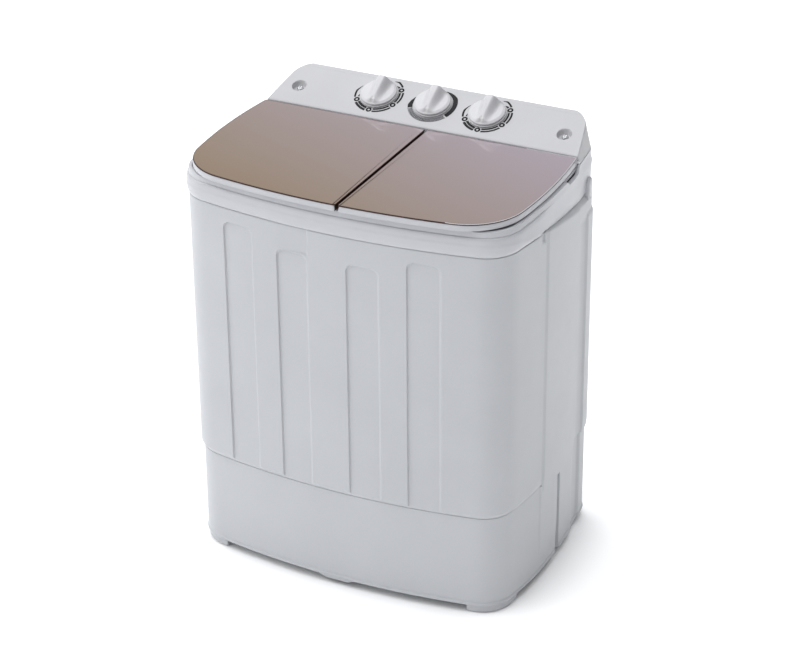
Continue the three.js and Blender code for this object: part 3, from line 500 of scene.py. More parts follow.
def cabinet_shell(materials):
    groove_marks = [CABINET.station_of_x(x) + side * GROOVE_HALF for x, _ in GROOVES for side in (-1, 1)]
    side_marks = [sign * CABINET.station_of_y(y) for y in (-41, *SIDE_PANEL, *REAR_STRIP) for sign in (-1, 1)]
    along = stations(-CABINET.length, CABINET.length, 9.0, groove_marks + side_marks)
    corner_marks = [mark - math.copysign(7, mark - CABINET.station_of_x(x)) for (x, _), mark in
                    zip([g for g in GROOVES for _ in (0, 1)], groove_marks)]
    along = np.union1d(along, stations(-CABINET.length, CABINET.length, 400.0, corner_marks, 7.0, 1.4))
    along = along[np.concatenate([[True], np.diff(along) > 0.25])]
    points, _ = CABINET.at(along)
    levels = stations(STEP_Z + GAP, SHELL_TOP, 14.0, [g[1] for g in GROOVES[:2]], 3.0, 0.5)
    tops = stations(STEP_Z + GAP, SHELL_TOP, 400.0, [g[1] - 7 for g in GROOVES[:2]], 7.0, 1.4)
    ends = np.concatenate([STEP_Z + GAP + np.linspace(0, 14, 15), SHELL_TOP - np.geomspace(0.4, 20, 12),
                           [SHELL_TOP]])
    levels = np.unique(np.round(np.concatenate([levels, tops, ends]), 2))
    levels = levels[np.concatenate([[True], np.diff(levels) > 0.2])]
    side = side_only(points)
    y = points[:, 1]
    closed = 0.42 * smooth((y + 165) / 40)
    panel_low = STEP_Z + GAP - closed - SIDE_PANEL_DROP * between(y, *SIDE_PANEL, 6) * side
    seam = np.where(y > -150, seam_height(y), SHELL_TOP)
    z = levels[:, None] + np.zeros(len(along))
    z = z + smooth((levels[:, None] - 540) / 80) * (seam - SHELL_TOP)
    z = z + smooth((240 - levels[:, None]) / 50) * (panel_low - STEP_Z - GAP)
    inset_step = skirt_inset(y)
    step = -inset_step * smooth((STEP_Z + STEP_CHAMFER + 1 - z) / STEP_CHAMFER)
    step = step - 0.8 * inside(np.abs(z - STEP_Z - STEP_CHAMFER), 3) * side * (y < SIDE_PANEL[0])
    front = y < -150
    grooves = np.zeros_like(z)
    for x, top in GROOVES:
        across = along - CABINET.station_of_x(x) + 0 * z
        distance = rounded_box(across, z - (top + 60) / 2, GROOVE_HALF, (top - 60) / 2, GROOVE_CORNER)
        softness = 1.8 + 3.2 * smooth(across / 30 + 0.3)
        grooves = np.minimum(grooves, -GROOVE_DEPTH * inside(distance + softness * 0.35, softness) * front)
    sunk_right = GROOVES[1][0] + GROOVE_HALF
    sink = -2.4 * smooth((points[:, 0] + 100) / 55) * inside(points[:, 0] - sunk_right, 4.0) * front
    sink = sink * smooth((z - GROOVES[1][1] + 2) / 6)
    ledge = seam_height(y) - z
    panel = 2.4 * smooth((y - SIDE_PANEL[0]) / 6.0 + 0.5) * smooth((SIDE_PANEL[1] - y) / 5.0 + 0.5) * side
    strip = 2.6 * between(y, *REAR_STRIP, 5.0) * side * smooth((ledge - 30) / 8)
    channel = -2.5 * between(y, SIDE_PANEL[1] + 4, REAR_STRIP[0] - 4, 14.0) * side * smooth((ledge - 34) / 10)
    out = np.minimum(step, grooves) + sink + panel + strip + channel
    notch = -3.0 * between(y, -45.0, -38.5, 2.0) * side * smooth((z - 615) / 3)
    slope = 2.4 + 4.2 * np.clip((y + 30) / 160, 0, 1)
    beside = smooth((y + 38) / 4) * side
    out = out + notch - 0.9 * (1 - smooth(ledge / 1.6)) - beside * slope * np.clip(1 - ledge / (slope * 1.4), 0, 1)
    inner_z = np.array([1.0, 0.7, 0.4, 0.1, 0.0])[:, None] * (z[-1] - z[0]) + z[0]
    inner_inset = np.full(inner_z.shape, GROOVE_DEPTH + WALL + 3)
    shell = ring_object("cabinet_shell_skin", CABINET, along, np.vstack([-out, inner_inset]),
                        np.vstack([z, inner_z]))
    return finish_piece(shell, "cabinet", materials["shell"], "cabinet_shell", slot="white_shell")


def base_skirt(materials):
    recess = (32.0, 45.0)
    band_front = -38.0
    side_marks = [sign * CABINET.station_of_y(y) for y in (band_front, *recess, 108, 148) for sign in (-1, 1)]
    along = stations(-CABINET.length, CABINET.length, 8.0, side_marks)
    points, _ = CABINET.at(along)
    y, side = points[:, 1], side_only(points)
    levels = np.unique(np.concatenate([SKIRT_BOTTOM + np.linspace(0, 12, 17), np.arange(30, STEP_Z - 16, 8),
                                       STEP_Z - SIDE_PANEL_DROP + np.linspace(-3, 3, 9),
                                       STEP_Z - np.geomspace(0.3, 6, 7)]))
    top = STEP_Z - SIDE_PANEL_DROP * between(y, *SIDE_PANEL, 6) * side
    tab = 5.0 * between(along, -30.0, 24.0, 8.0)
    z = levels[:, None] + smooth((levels[:, None] - 120) / 50) * (top - STEP_Z)
    z = z - smooth((SKIRT_BOTTOM + 6 - levels[:, None]) / 5) * tab
    inset = skirt_inset(y) + 0 * z
    inset = inset + 1.2 * inside(np.abs(z - SKIRT_BOTTOM - 6.5),
                                 2.2) - 1.6 * smooth((SKIRT_BOTTOM + 6 - z) / 3)
    inset = inset + 1.5 * smooth((SKIRT_BOTTOM + 2 - z) / 3)
    band = 1.6 * between(y, band_front, recess[0], 4.0) * side * smooth((z - 40) / 40)
    hollow = 5.5 * between(y, *recess, 2.2) * side * smooth((STEP_Z - 6 - z) / 4)
    channel = 4.0 * between(y, 108.0, 148.0, 8.0) * side
    inset = inset - band + hollow + channel
    inner_z = np.array([1.0, 0.66, 0.33, 0.0])[:, None] * (z[-1] - z[0]) + z[0]
    inner_inset = 8.5 + 7.0 * between(y, recess[0] - 5, recess[1] + 5, 6.0) * side + 0 * inner_z
    skirt = ring_object("base_skirt_skin", CABINET, along, np.vstack([inset, inner_inset]),
                        np.vstack([z, inner_z]))
    return finish_piece(skirt, "cabinet", materials["base"], "base_skirt", slot="base_plastic")


def feet(materials):
    """Each foot carries a corner of the skirt down to the floor, with a rounded sole."""
    for name, sign_x, front in (("foot_front_left", -1, True), ("foot_front_right", 1, True),
                                ("foot_rear_left", -1, False), ("foot_rear_right", 1, False)):
        if front:
            along = np.linspace(CABINET.station_of_x(222), CABINET.station_of_y(-100), 40)
        else:
            along = np.linspace(CABINET.station_of_y(112), CABINET.starts[-1] + 60, 40)
        section = rounded_profile([(6.0, FOOT_TOP - 0.4, 0.3), (6.4, 0.0, 4.0), (46.0, 0.0, 3.0),
                                   (46.0, FOOT_TOP - 0.4, 0.3)])
        deepest = np.minimum(section[:, :1] + 0 * along, 46.0)
        ends = np.minimum(1, np.minimum(np.arange(len(along)), np.arange(len(along))[::-1]) / 3)
        shrink = 1 - 0.12 * (1 - np.sqrt(1 - (1 - ends) ** 2))
        rows = wrap(CABINET, along, deepest / shrink, FOOT_TOP - (FOOT_TOP - section[:, 1:]) * shrink)
        rows[:, :, 0] *= sign_x
        rings = np.swapaxes(rows, 0, 1)
        if sign_x > 0:
            rings = rings[::-1]
        foot = capped_loft(name + "_moulding", rings)
        finish_piece(foot, "cabinet", materials["base"], name, slot="base_plastic")


# ---------- collar, deck and lids ----------
def top_collar(materials):
    """The frame round the lids: a thin rim over a bulging band, which is let in above the side panels."""
    marks = [sign * CABINET.station_of_y(v) for v in (-40, 50, 104, 116) for sign in (-1, 1)]
    along = stations(-CABINET.length, CABINET.length, 6.0, marks, 8.0, 0.8)
    points, _ = CABINET.at(along)
    y = points[:, 1]
    side = between(y, -150.0, 250.0, 4.0)
    seam = np.where(y > -150, seam_height(y), SHELL_TOP) + GAP
    let_in = smooth((y + 43) / 5) * side
    eased = smooth((y + 78) / 75) * side
    deep = (1.6 + 4.2 * np.clip((y + 30) / 160, 0, 1)) * (1 - 0.7 * smooth((y - 180) / 12))
    fall = 16.5 * smooth((y + 165) / 120) * side
    overhang = 0.9 * smooth((along + 140) / 90) * (1 - smooth((y + 170) / 60))
    scoop = 9.0 * between(y, 52.0, 104.0, 16.0) * side
    top = COLLAR_TOP - scoop
    bulge = 3.4

    def row(share, z, front):
        """One level: share is how far it is let in beside the panels, front is its inset in front."""
        blend = let_in if share > 0.75 else eased
        return front * (1 - blend) + share * deep * blend, z + 0 * along

    rows = [
        row(1.0, seam, 8.0), row(0.98, seam, 1.6), row(0.97, seam + 0.6, 0.3 - overhang),
        row(0.96, seam + 1.6, -0.3 - overhang), row(0.9, seam + 5.0 - fall * 0.15, -1.6 - overhang),
        row(0.8, seam + 9.5 - fall * 0.35, -2.8 - overhang * 0.5), row(0.66, 652.6 - fall, -bulge + 0.5),
        row(0.62, 655.0 - fall, -bulge), row(0.58, 656.6 - fall, -bulge),
            row(0.54, 658.6 - fall * 0.95, -bulge + 0.4),
        row(0.45, 662.0 - fall * 0.6, -bulge + 1.1), row(0.3, 666.0 - fall * 0.25, -2.6),
            row(0.1, 669.6, -1.6),
        row(0.06, 670.7, -0.7), row(0.1, 671.0, 0.6), row(0.1, 671.3, 0.9), row(0.05, 671.8, 0.5),
        row(0.05, np.minimum(673.0, top - 1), 0.6), row(0.1, top - 1.6, 1.2), row(0.1, top - 0.8, 1.5),
        row(0.15, top - 0.15, 2.2), row(0.2, top, 3.4), row(0.2, top - 0.1, 5.4), row(0.2, top - 0.6, 6.6),
        row(0.2, top - 1.6, 7.0), row(0.2, np.minimum(DECK_TOP - 12, top - 4), 7.2),
            row(0.6, 650.0 - fall * 0.5, 8.0),
    ]
    inset, z = np.array([r[0] for r in rows]), np.array([r[1] for r in rows])
    inset[12:20] += 3.2 * smooth((y - 70) / 70) * side
    inset[-7:] = np.maximum(inset[-7:], np.array([3.4, 5.4, 6.6, 7.0, 7.2, 8.4, 9.0])[:, None])
    inset[0] = np.maximum(inset[0], inset[1] + 2.0)
    collar = ring_object("collar_moulding", CABINET, along, inset, z)
    return finish_piece(collar, "cabinet", materials["top"], slot="white_top")


def side_lugs(materials):
    """A rounded boss with a screw hole behind each side panel, where the collar is fixed to the cabinet."""
    point, normal = (v[0] for v in CABINET.at(np.array([CABINET.station_of_y(163.0)])))
    outline = rounded_rectangle(-10, 10, -20, 20, 8, 8)
    rings = []
    for shrink, proud in ((0.0, -6.0), (0.0, -0.4), (0.5, 0.6), (1.4, 1.4), (2.8, 1.9), (5.0, 2.0)):
        ring = outline * (1 - shrink / np.array([10.0, 20.0]))
        rings.append(np.column_stack([proud + 0 * ring[:, 0], ring]))
    for sign in (-1, 1):
        turned = []
        for ring in rings:
            out, across, z = ring.T
            xy = point + out[:, None] * normal + across[:, None] * np.array([-normal[1], normal[0]])
            turned.append(np.column_stack([sign * xy[:, 0], xy[:, 1], z + 618.5]))
        if sign < 0:
            turned = turned[::-1]
        boss = capped_loft("side_lug", turned)
        finish_piece(boss, "cabinet", materials["top"], slot="white_top")
        hole = revolve("lug_screw", [(0.01, -2.0), (3.4, -2.0), (3.4, 0.3), (2.6, 0.5), (1.2, -0.6),
                                     (0.01, -0.6)],
                       sides=24)
        face = Vector((sign * normal[0], normal[1], 0))
        place = Vector((sign * (point[0] + normal[0] * 2.0), point[1] + normal[1] * 2.0, 605.0))
        hole.data.transform(Matrix.Translation(place * MM) @ face.to_track_quat("Z", "Y").to_matrix().to_4x4())
        finish_piece(hole, "cabinet", materials["steel"])


def rounded_rectangle(x0, x1, y0, y1, radius, steps=16):
    """Points round a rectangle with round corners, counter-clockwise."""
    loop = []
    for x, y, start in ((x1, y0, -90), (x1, y1, 0), (x0, y1, 90), (x0, y0, 180)):
        turn = np.radians(np.linspace(start, start + 90, steps))
        cx, cy = (x - radius if x == x1 else x + radius), (y - radius if y == y1 else y + radius)
        loop.append(np.column_stack([cx + radius * np.cos(turn), cy + radius * np.sin(turn)]))
    return np.vstack(loop)


def circle(x, y, radius, sides=96):
    turn = np.linspace(0, 2 * math.pi, sides, endpoint=False)
    return np.column_stack([x + radius * np.cos(turn), y + radius * np.sin(turn)])


def plate(name, loops, z0, z1, bevel=0.6):
    """A flat plate between two heights, outlined by the first loop and pierced by the others."""
    data = bpy.data.curves.new(name, "CURVE")
    data.dimensions, data.fill_mode = "2D", "BOTH"
    data.extrude, data.bevel_depth, data.bevel_resolution = ((z1 - z0) / 2 - bevel) * MM, bevel * MM, 2
    data.offset = -bevel * MM
    for loop in loops:
        spline = data.splines.new("POLY")
        spline.points.add(len(loop) - 1)
        flat = np.column_stack([np.asarray(loop) * MM, np.zeros(len(loop)), np.ones(len(loop))])
        spline.points.foreach_set("co", flat.ravel())
        spline.use_cyclic_u = True
    curve = bpy.data.objects.new(name + "_curve", data)
    bpy.context.scene.collection.objects.link(curve)
    mesh = bpy.data.meshes.new_from_object(curve.evaluated_get(bpy.context.evaluated_depsgraph_get()))
    bpy.data.objects.remove(curve)
    mesh.transform(Matrix.Translation((0, 0, (z0 + z1) / 2 * MM)))
    made = bpy.data.objects.new(name, mesh)
    bpy.context.scene.collection.objects.link(made)
    return made


def sweep(name, loop, section):
    """A closed moulding that follows a loop in plan; the section is a closed loop of (outwards, z)."""
    loop, section = np.asarray(loop, float), np.asarray(section, float)
    ahead = np.roll(loop, -1, axis=0) - np.roll(loop, 1, axis=0)
    ahead /= np.hypot(*ahead.T)[:, None]
    normal = np.column_stack([ahead[:, 1], -ahead[:, 0]])
    rows = [np.column_stack([loop + normal * out, np.full(len(loop), z)]) for out, z in section]
    grid = np.asarray(rows)
    return mesh_object(name, grid.reshape(-1, 3), quads(*grid.shape[:2], True, True))


WASH_MOUTH = rounded_rectangle(-258, 10, -164, 96, 52)
SPIN_AXIS, SPIN_MOUTH = (152.0, -40.0), 112.0


def deck(materials):
    """The deck inside the collar: a plate pierced by the two mouths, each with a rolled rim."""
    along = np.arange(-CABINET.length, CABINET.length, 5.0)
    points, normals = CABINET.at(along)
    outline = points - normals * 7.6
    spin = circle(*SPIN_AXIS, SPIN_MOUTH)
    base = plate("deck_plate", [outline, WASH_MOUTH[::-1], spin[::-1]], DECK_TOP - 5, DECK_TOP)
    top = DECK_TOP
    rim = rounded_profile([(0.6, top - 16, 0.8), (-0.5, top - 16, 0.5), (-0.5, top - 1, 1.2),
                           (4.5, top + 0.9, 1.6),
                           (5.2, top - 0.6, 0.5), (0.8, top - 0.9, 0.5)])
    rims = [sweep("rim", loop, rim) for loop in (WASH_MOUTH, spin)]
    made = join_meshes("deck_moulding", [base, *rims])
    return finish_piece(made, "cabinet", materials["top"], "top_deck", slot="white_top")


def lid_loop(side, inset, seam):
    """A lid's outline, shrunk by inset: part of the lid plan, closed by the seam between the lids."""
    corner = 3.0
    edge = seam + side * inset
    loops = []
    for y_sign in (1, -1):
        centre_x = edge + side * corner
        if y_sign < 0:
            radius = LID.arcs[0][1]
            centre_y = LID.front_centre[1] - math.sqrt((radius - inset - corner) ** 2 - centre_x ** 2)
        else:
            centre_y = LID.back - inset - corner
        turn = np.linspace(0, math.pi / 2, 6)
        if y_sign > 0:
            angle = math.pi / 2 + turn
        else:
            angle = math.pi + turn
        x = centre_x + side * corner * np.cos(angle)
        loops.append(np.column_stack([x, centre_y + corner * np.sin(angle)]))
    start = LID.station_of_x(abs(seam + side * (corner + 1))) * (1 if side * seam > 0 else -1)
    end = LID.length - abs(seam + side * (corner + 1)) * (1 if side * seam > 0 else -1)
    along = np.unique(np.concatenate([np.linspace(start, end, 120),
                                      np.linspace(LID.starts[1], LID.starts[2], 40),
                                      np.linspace(LID.starts[3] - 1, LID.starts[4] + 1, 10)]))
    along = np.minimum(along[along >= start], end)
    points, normals = LID.at(along)
    outer = points - normals * inset
    outer[:, 0] *= side
    return np.vstack([loops[0], loops[1], outer])


def lid(side, seam, body, prefix, materials):
    """A lid: a moulded tray with a white rim under a tinted sheet that reaches its edge."""
    def ring(inset, z, set_back=0.0):
        loop = lid_loop(side, inset, seam + side * set_back)
        if side < 0:
            loop = loop[::-1]
        return np.column_stack([loop, np.full(len(loop), z)])

    sheet = capped_loft(prefix + "_sheet", [ring(1.9, WINDOW_BOTTOM + 0.05), ring(1.3, WINDOW_BOTTOM + 0.1),
                                            ring(1.0, WINDOW_BOTTOM + 0.4), ring(1.0, LID_TOP - 0.7),
                                            ring(1.15, LID_TOP - 0.3), ring(1.45, LID_TOP - 0.06),
                                            ring(1.9, LID_TOP),
                                            ring(2.5, LID_TOP)])
    finish_piece(sheet, body, materials["tint"], prefix + "_window", slot="lid_tint")
    sheet.data.materials.append(materials["sheet_edge_and_shade"])
    sheet.data.materials.append(materials["top"])
    # Painted highlight: material 2 (white) on the sheet's upper edge where x is over 190 mm stands for a bright
    # glint. Material 1 (dark) on the rest of the sheet's edge is the dark film edge, and on the thin top border
    # round the sheet it is a painted shade outline.
    for face in list(sheet.data.polygons)[:-1]:
        x, _, z = face.center / MM
        on_top = z > LID_TOP - 0.01
        if x > 190 and z > LID_TOP - 0.5:
            face.material_index = 2
        elif not (on_top and abs(x - seam) < 3):
            face.material_index = 1
    top = WINDOW_BOTTOM - 0.15
    profile = [(13.0, LID_BOTTOM + 5), (12.6, LID_BOTTOM + 1), (12.0, LID_BOTTOM + 0.1), (2.0, LID_BOTTOM),
               (1.0, LID_BOTTOM + 0.25), (0.4, LID_BOTTOM + 0.8), (0.25, LID_BOTTOM + 1.6), (1.35, top - 0.6),
               (1.5, top - 0.15), (1.9, top)]
    rim = capped_loft(prefix + "_rim", [ring(i, z, 0.9) for i, z in profile])
    finish_piece(rim, body, materials["top"], prefix + "_tray", slot="white_top")
    rim.data.materials.append(materials["sheet_edge_and_shade"])
    # Painted shade: the rim's faces at the seam take the dark edge material, standing for the shadow in the gap
    # between the two trays.
    for face in rim.data.polygons:
        face.material_index = 1 if abs(face.center.x / MM - seam) < 2.2 else 0


# ---------- console ----------
def soft_min(a, b, radius):
    """The lower of two heights, with their crossing rounded."""
    h = np.clip(0.5 + 0.5 * (b - a) / radius, 0, 1)
    return b * (1 - h) + a * h - radius * h * (1 - h) * 0.5


def console_height(x, y, half_width):
    """Height of the console's surface over a point of its plan, where the plan is half_width wide."""
    face = LID_TOP + (y - CONSOLE_FRONT) * math.tan(CONSOLE_SLOPE)
    flank = 681.0 + (half_width - np.abs(x)) / CONSOLE_LEAN
    return soft_min(face, flank, 7.0)


def console_grid(rows):
    """A grid over the console whose columns follow its sides; rows are its values of y."""
    points, _ = CONSOLE.at(np.linspace(CONSOLE.starts[2], CONSOLE.starts[4], 400))
    half = np.interp(rows, points[:, 1], points[:, 0])
    edge = np.concatenate([np.arange(0, 14, 0.5), np.arange(14, 64, 0.9)])
    middle = np.linspace(-1, 1, 56)
    grid_x = np.array([np.concatenate([edge - h, middle * (h - 66), (h - edge)[::-1]]) for h in half])
    grid_y = np.repeat(rows[:, None], grid_x.shape[1], axis=1)
    return grid_x, grid_y, console_height(grid_x, grid_y, half[:, None])


def console_panel(materials):
    """The sloped console fascia: its ends lean in, its edges are rounded, and a screw sits in a well at each end."""
    low = span("console_panel")[0][2] + 0.2
    back = span("console_panel")[1][1] + 0.2
    screw_y = CONSOLE_FRONT + SCREW_UP * math.cos(CONSOLE_SLOPE)
    rows = np.unique(np.concatenate([CONSOLE_FRONT + np.array([0, 0.3, 0.7, 1.2, 1.8, 2.6]),
                                     np.arange(CONSOLE_FRONT + 5, back, 3.0), [back],
                                     screw_y + np.arange(-14, 14, 0.9)]))
    grid_x, grid_y, z = console_grid(rows)
    from_edge = np.clip((grid_y - CONSOLE_FRONT) / 2.6, 0, 1)
    z = z - 1.8 * (1 - np.sqrt(1 - (1 - from_edge) ** 2))
    for sign in (-1, 1):
        distance = np.hypot(grid_x - sign * SCREW_X, (grid_y - screw_y) / math.cos(CONSOLE_SLOPE)) - 11.4
        z = z - 8.6 * inside(distance, 2.4) - 0.25 * inside(np.abs(distance) - 0.6, 1.2)
    z = np.maximum(z, low)
    grid = np.dstack([grid_x, grid_y, z])
    foot = grid[0].copy()
    foot[:, 2] = low
    grid = np.vstack([foot[None], grid])
    panel = mesh_object("console_fascia", grid.reshape(-1, 3), quads(*grid.shape[:2]))
    thicken(panel, 2.4)
    return finish_piece(panel, "cabinet", materials["console"], "console_panel", slot="white_top")


def console_back(materials):
    """The rear cover of the console, rounded over along its back edge."""
    low = span("console_back_cover")[0][2] + 0.2
    front, back = span("console_back_cover")[0][1], span("console_back_cover")[1][1] - 0.3
    turn = np.sin(np.linspace(0, 1, 8) * math.pi / 2)
    rows = np.concatenate([np.linspace(front, back - 3, 4)[:-1], back - 3 + 3 * turn])
    grid_x, grid_y, z = console_grid(rows)
    over = np.clip((grid_y - back + 3) / 3, 0, 1)
    z = np.maximum(z - 3 * (1 - np.sqrt(1 - over ** 2)), low)
    grid = np.dstack([grid_x, grid_y, z])
    for level in (0.75, 0.5, 0.25, 0.0):
        row = grid[len(rows) - 1].copy()
        row[:, 2] = low + (row[:, 2] - low) * level
        grid = np.vstack([grid, row[None]])
    cover = mesh_object("console_rear_moulding", grid.reshape(-1, 3), quads(*grid.shape[:2]))
    thicken(cover, 2.4)
    return finish_piece(cover, "cabinet", materials["console"], "console_back_cover", slot="white_top")


def thicken(obj, thickness):
    """Gives a sheet its wall, inwards, and keeps the result as the mesh."""
    solid = obj.modifiers.new("wall", "SOLIDIFY")
    solid.thickness, solid.offset = thickness * MM, -1
    apply_modifiers(obj)


def apply_modifiers(obj):
    graph = bpy.context.evaluated_depsgraph_get()
    obj.data = bpy.data.meshes.new_from_object(obj.evaluated_get(graph))
    obj.modifiers.clear()


def face_matrix(x, up, lift=0.0):
    """Where a thing stands on the console's face, in metres: X across, Y up the slope, Z out of it."""
    across = Vector((1, 0, 0))
    uphill = Vector((0, math.cos(CONSOLE_SLOPE), math.sin(CONSOLE_SLOPE)))
    out = Vector((0, -math.sin(CONSOLE_SLOPE), math.cos(CONSOLE_SLOPE)))
    place = Vector((x, CONSOLE_FRONT, LID_TOP)) + uphill * up + out * lift
    return Matrix.Translation(place * MM) @ Matrix((across, uphill, out)).transposed().to_4x4()


def place_on_face(obj, x, up, lift=0.0):
    obj.data.transform(face_matrix(x, up, lift))
    return obj


# ---------- knobs and dials ----------
def knob_height(u, v):
    """Height of a knob's top over its disc: a shallow crown and a flared grip that climbs up the slope."""
    radius = np.hypot(u, v)
    disc = 8.4 - 2.0 * smooth((radius - 25) / 5.5)
    climb = smooth((v + 34) / 58)
    crest = 12.0 + 10.5 * climb
    half = 2.2 + 2.6 * climb
    across = 1 - smooth((np.abs(u) - half + 1.5) / (12.5 + 3.0 * climb))
    lengthwise = 1 - smooth((np.abs(v) - 22.0) / 6.5)
    notch = 1.4 * inside(np.hypot(u / 2.6, (v + 23.0) / 4.0) - 1, 1.2)
    return disc + (crest - disc) * across ** 1.15 * lengthwise - notch


def knob(key, x, body, materials):
    """A control knob: a low flange on the panel, a groove, and a disc that carries the grip."""
    flange, disc = 31.9, 30.4
    turn = np.linspace(0, 2 * math.pi, 160, endpoint=False)
    profile = [(6.0, 0.45), (flange - 0.6, 0.45), (flange, 0.9), (flange, 2.2), (flange - 0.25, 2.7),
               (flange - 0.8, 2.95), (disc - 0.5, 3.0), (disc - 0.75, 3.3), (disc - 0.6, 3.7),
               (disc - 0.1, 3.9),
               (disc, 4.3), (disc, 5.2), (disc - 0.15, 5.7), (disc - 0.5, 6.1)]
    rings = [np.column_stack([r * np.cos(turn), r * np.sin(turn), np.full(len(turn), z)]) for r, z in profile]
    for r in np.linspace(disc - 1.0, 0.4, 56):
        u, v = r * np.cos(turn), r * np.sin(turn)
        rings.append(np.column_stack([u, v, knob_height(u, v)]))
    made = capped_loft(key + "_knob_moulding", rings, cap_smooth=True)
    place_on_face(made, x, KNOB_UP_SLOPE)
    return finish_piece(made, body, materials["knob"], key + "_knob", slot="knob_gloss")


def flat_band(name, r0, r1, start, end, taper_start=0.0, taper_end=0.0, lift=0.25, centre=(0.0, 0.0)):
    """A printed arc between two radii and two angles in degrees, with ends that may taper to a point."""
    span_deg = end - start
    count = max(int(abs(span_deg) / 2) + 2, 6)
    angle = np.radians(np.linspace(start, end, count))
    t = np.linspace(0, abs(span_deg), count)
    width = np.ones(count)
    if taper_start:
        width = np.minimum(width, 0.12 + 0.88 * np.clip(t / taper_start, 0, 1))
    if taper_end:
        width = np.minimum(width, 0.12 + 0.88 * np.clip((abs(span_deg) - t) / taper_end, 0, 1))
    inner = r0 - 2.4 * (1 - width)
    outer = inner + (r1 - r0) * width
    loops = []
    for z in (0.02, lift):
        outer_edge = np.column_stack([outer * np.cos(angle), outer * np.sin(angle)])
        inner_edge = np.column_stack([inner * np.cos(angle), inner * np.sin(angle)])
        loops.append((outer_edge + centre, inner_edge + centre, z))
    points = np.vstack([np.column_stack([edge, np.full(count, z)]) for o, i, z in loops for edge in (o, i)])
    n = count
    faces = []
    for k in range(n - 1):
        faces.append([2 * n + k, 2 * n + k + 1, 3 * n + k + 1, 3 * n + k])
        faces.append([k + 1, k, n + k, n + k + 1])
        faces.append([k, k + 1, 2 * n + k + 1, 2 * n + k])
        faces.append([n + k + 1, n + k, 3 * n + k, 3 * n + k + 1])
    faces.append([n, 0, 2 * n, 3 * n])
    faces.append([n - 1, 2 * n - 1, 4 * n - 1, 3 * n - 1])
    return mesh_object(name, points, faces, shade_smooth=False)


def timer_dial(key, x, materials):
    """Two broken rings of ink with four round markers, open at the top and bolder in the first quarter."""
    markers, gap = (-148.5, -93.0, -28.5, 27.5), 9.6
    parts = []
    for r0, r1, first, last in ((38.5, 41.7, -200.0, 68.0), (33.3, 36.5, -174.0, 51.0)):
        cuts = [first, *markers, last]
        for k in range(5):
            start, end = cuts[k] + (gap if k else 0), cuts[k + 1] - (gap if k < 4 else 0)
            bold = 0.5 if k == 1 else 0.0
            parts.append(flat_band("arc", r0 - bold, r1 + bold, start, end, 20.0 if k == 0 else 0.0,
                                   10.0 if k == 4 else 0.0))
    for angle in markers:
        centre = 37.3 * np.array([math.cos(math.radians(angle)), math.sin(math.radians(angle))])
        parts.append(flat_band("ring", 1.9, 4.9, 0.0, 359.5, centre=centre))
    dial = place_on_face(join_meshes(key + "_dial_print", parts), x, KNOB_UP_SLOPE)
    return finish_piece(dial, "cabinet", materials["ink"])


def selector_dial(x, materials):
    """A band of ink, black at both ends and finely dotted along the bottom."""
    black = [flat_band("band", 33.4, 41.3, 152.0, 205.0, 42.0),
             flat_band("band", 33.4, 41.3, -34.0, 82.0, 0.0, 50.0)]
    dial = place_on_face(join_meshes("selector_dial_print", black), x, KNOB_UP_SLOPE)
    finish_piece(dial, "cabinet", materials["ink"])
    dots = [flat_band("edge", 40.6, 41.3, -154.0, -37.0), flat_band("edge", 33.4, 34.0, -154.0, -37.0)]
    for row, radius in enumerate((35.3, 37.3, 39.3)):
        for angle in np.arange(-153.5 + row, -38.5, 3.1):
            dots.append(flat_band("dash", radius - 0.8, radius + 0.8, angle, angle + 2.2))
    scale = place_on_face(join_meshes("selector_scale_print", dots), x, KNOB_UP_SLOPE)
    finish_piece(scale, "cabinet", materials["grey_ink"])


# ---------- inside the two tubs ----------
PULSATOR_LOW, PULSATOR_HIGH = span("pulsator")
BASKET_LOW, BASKET_HIGH = span("spin_basket")
INNER_LOW, INNER_HIGH = span("spin_inner_lid")


def pulsator(materials):
    """The ribbed disc that stirs the wash: a dished plate with four fins, drain holes and a cap."""
    x, y = (PULSATOR_LOW[:2] + PULSATOR_HIGH[:2]) / 2
    low, radius = PULSATOR_LOW[2], (PULSATOR_HIGH[0] - PULSATOR_LOW[0]) / 2
    turn = np.linspace(0, 2 * math.pi, 240, endpoint=False)

    def height(r):
        quarter = math.pi / 2
        swing = (turn - 0.4 - 0.3 * (r / radius) ** 2 + quarter / 2) % quarter - quarter / 2
        fin = (1 - smooth((np.abs(r * np.sin(swing)) - 2.5) / 9)) * smooth((r - 18) / 14) * smooth((radius - 3 - r) / 14)
        hole_pitch = 2 * math.pi / 40
        hole_swing = (turn + hole_pitch / 2) % hole_pitch - hole_pitch / 2
        hole = inside(np.hypot(r * hole_swing, r - radius + 16) - 2.6, 1.4) * (1 - fin)
        dish = low + 9 - 2.2 * np.sin(math.pi * r / radius) + 6 * (1 - smooth((r - 12) / 30))
        cap = 6.5 * (1 - smooth((r - 15) / 5)) * (1 - 0.3 * (r / 16) ** 2)
        return np.minimum(dish + 13.5 * fin + cap - 2.0 * hole, PULSATOR_HIGH[2] - 0.1)

    rings = [np.column_stack([r * np.cos(turn), r * np.sin(turn), low + up + 0 * turn])
             for r, up in ((8.0, 3.0), (radius - 2, 5.0), (radius - 0.4, 5.6), (radius, 6.4), (radius, 7.8))]
    for r in np.append(np.arange(radius - 0.6, 1, -1.0), 0.4):
        rings.append(np.column_stack([r * np.cos(turn), r * np.sin(turn), height(r)]))
    made = capped_loft("pulsator_moulding", np.array(rings) + (x, y, 0), cap_smooth=True)
    return finish_piece(made, "pulsator", materials["blue"], "pulsator")


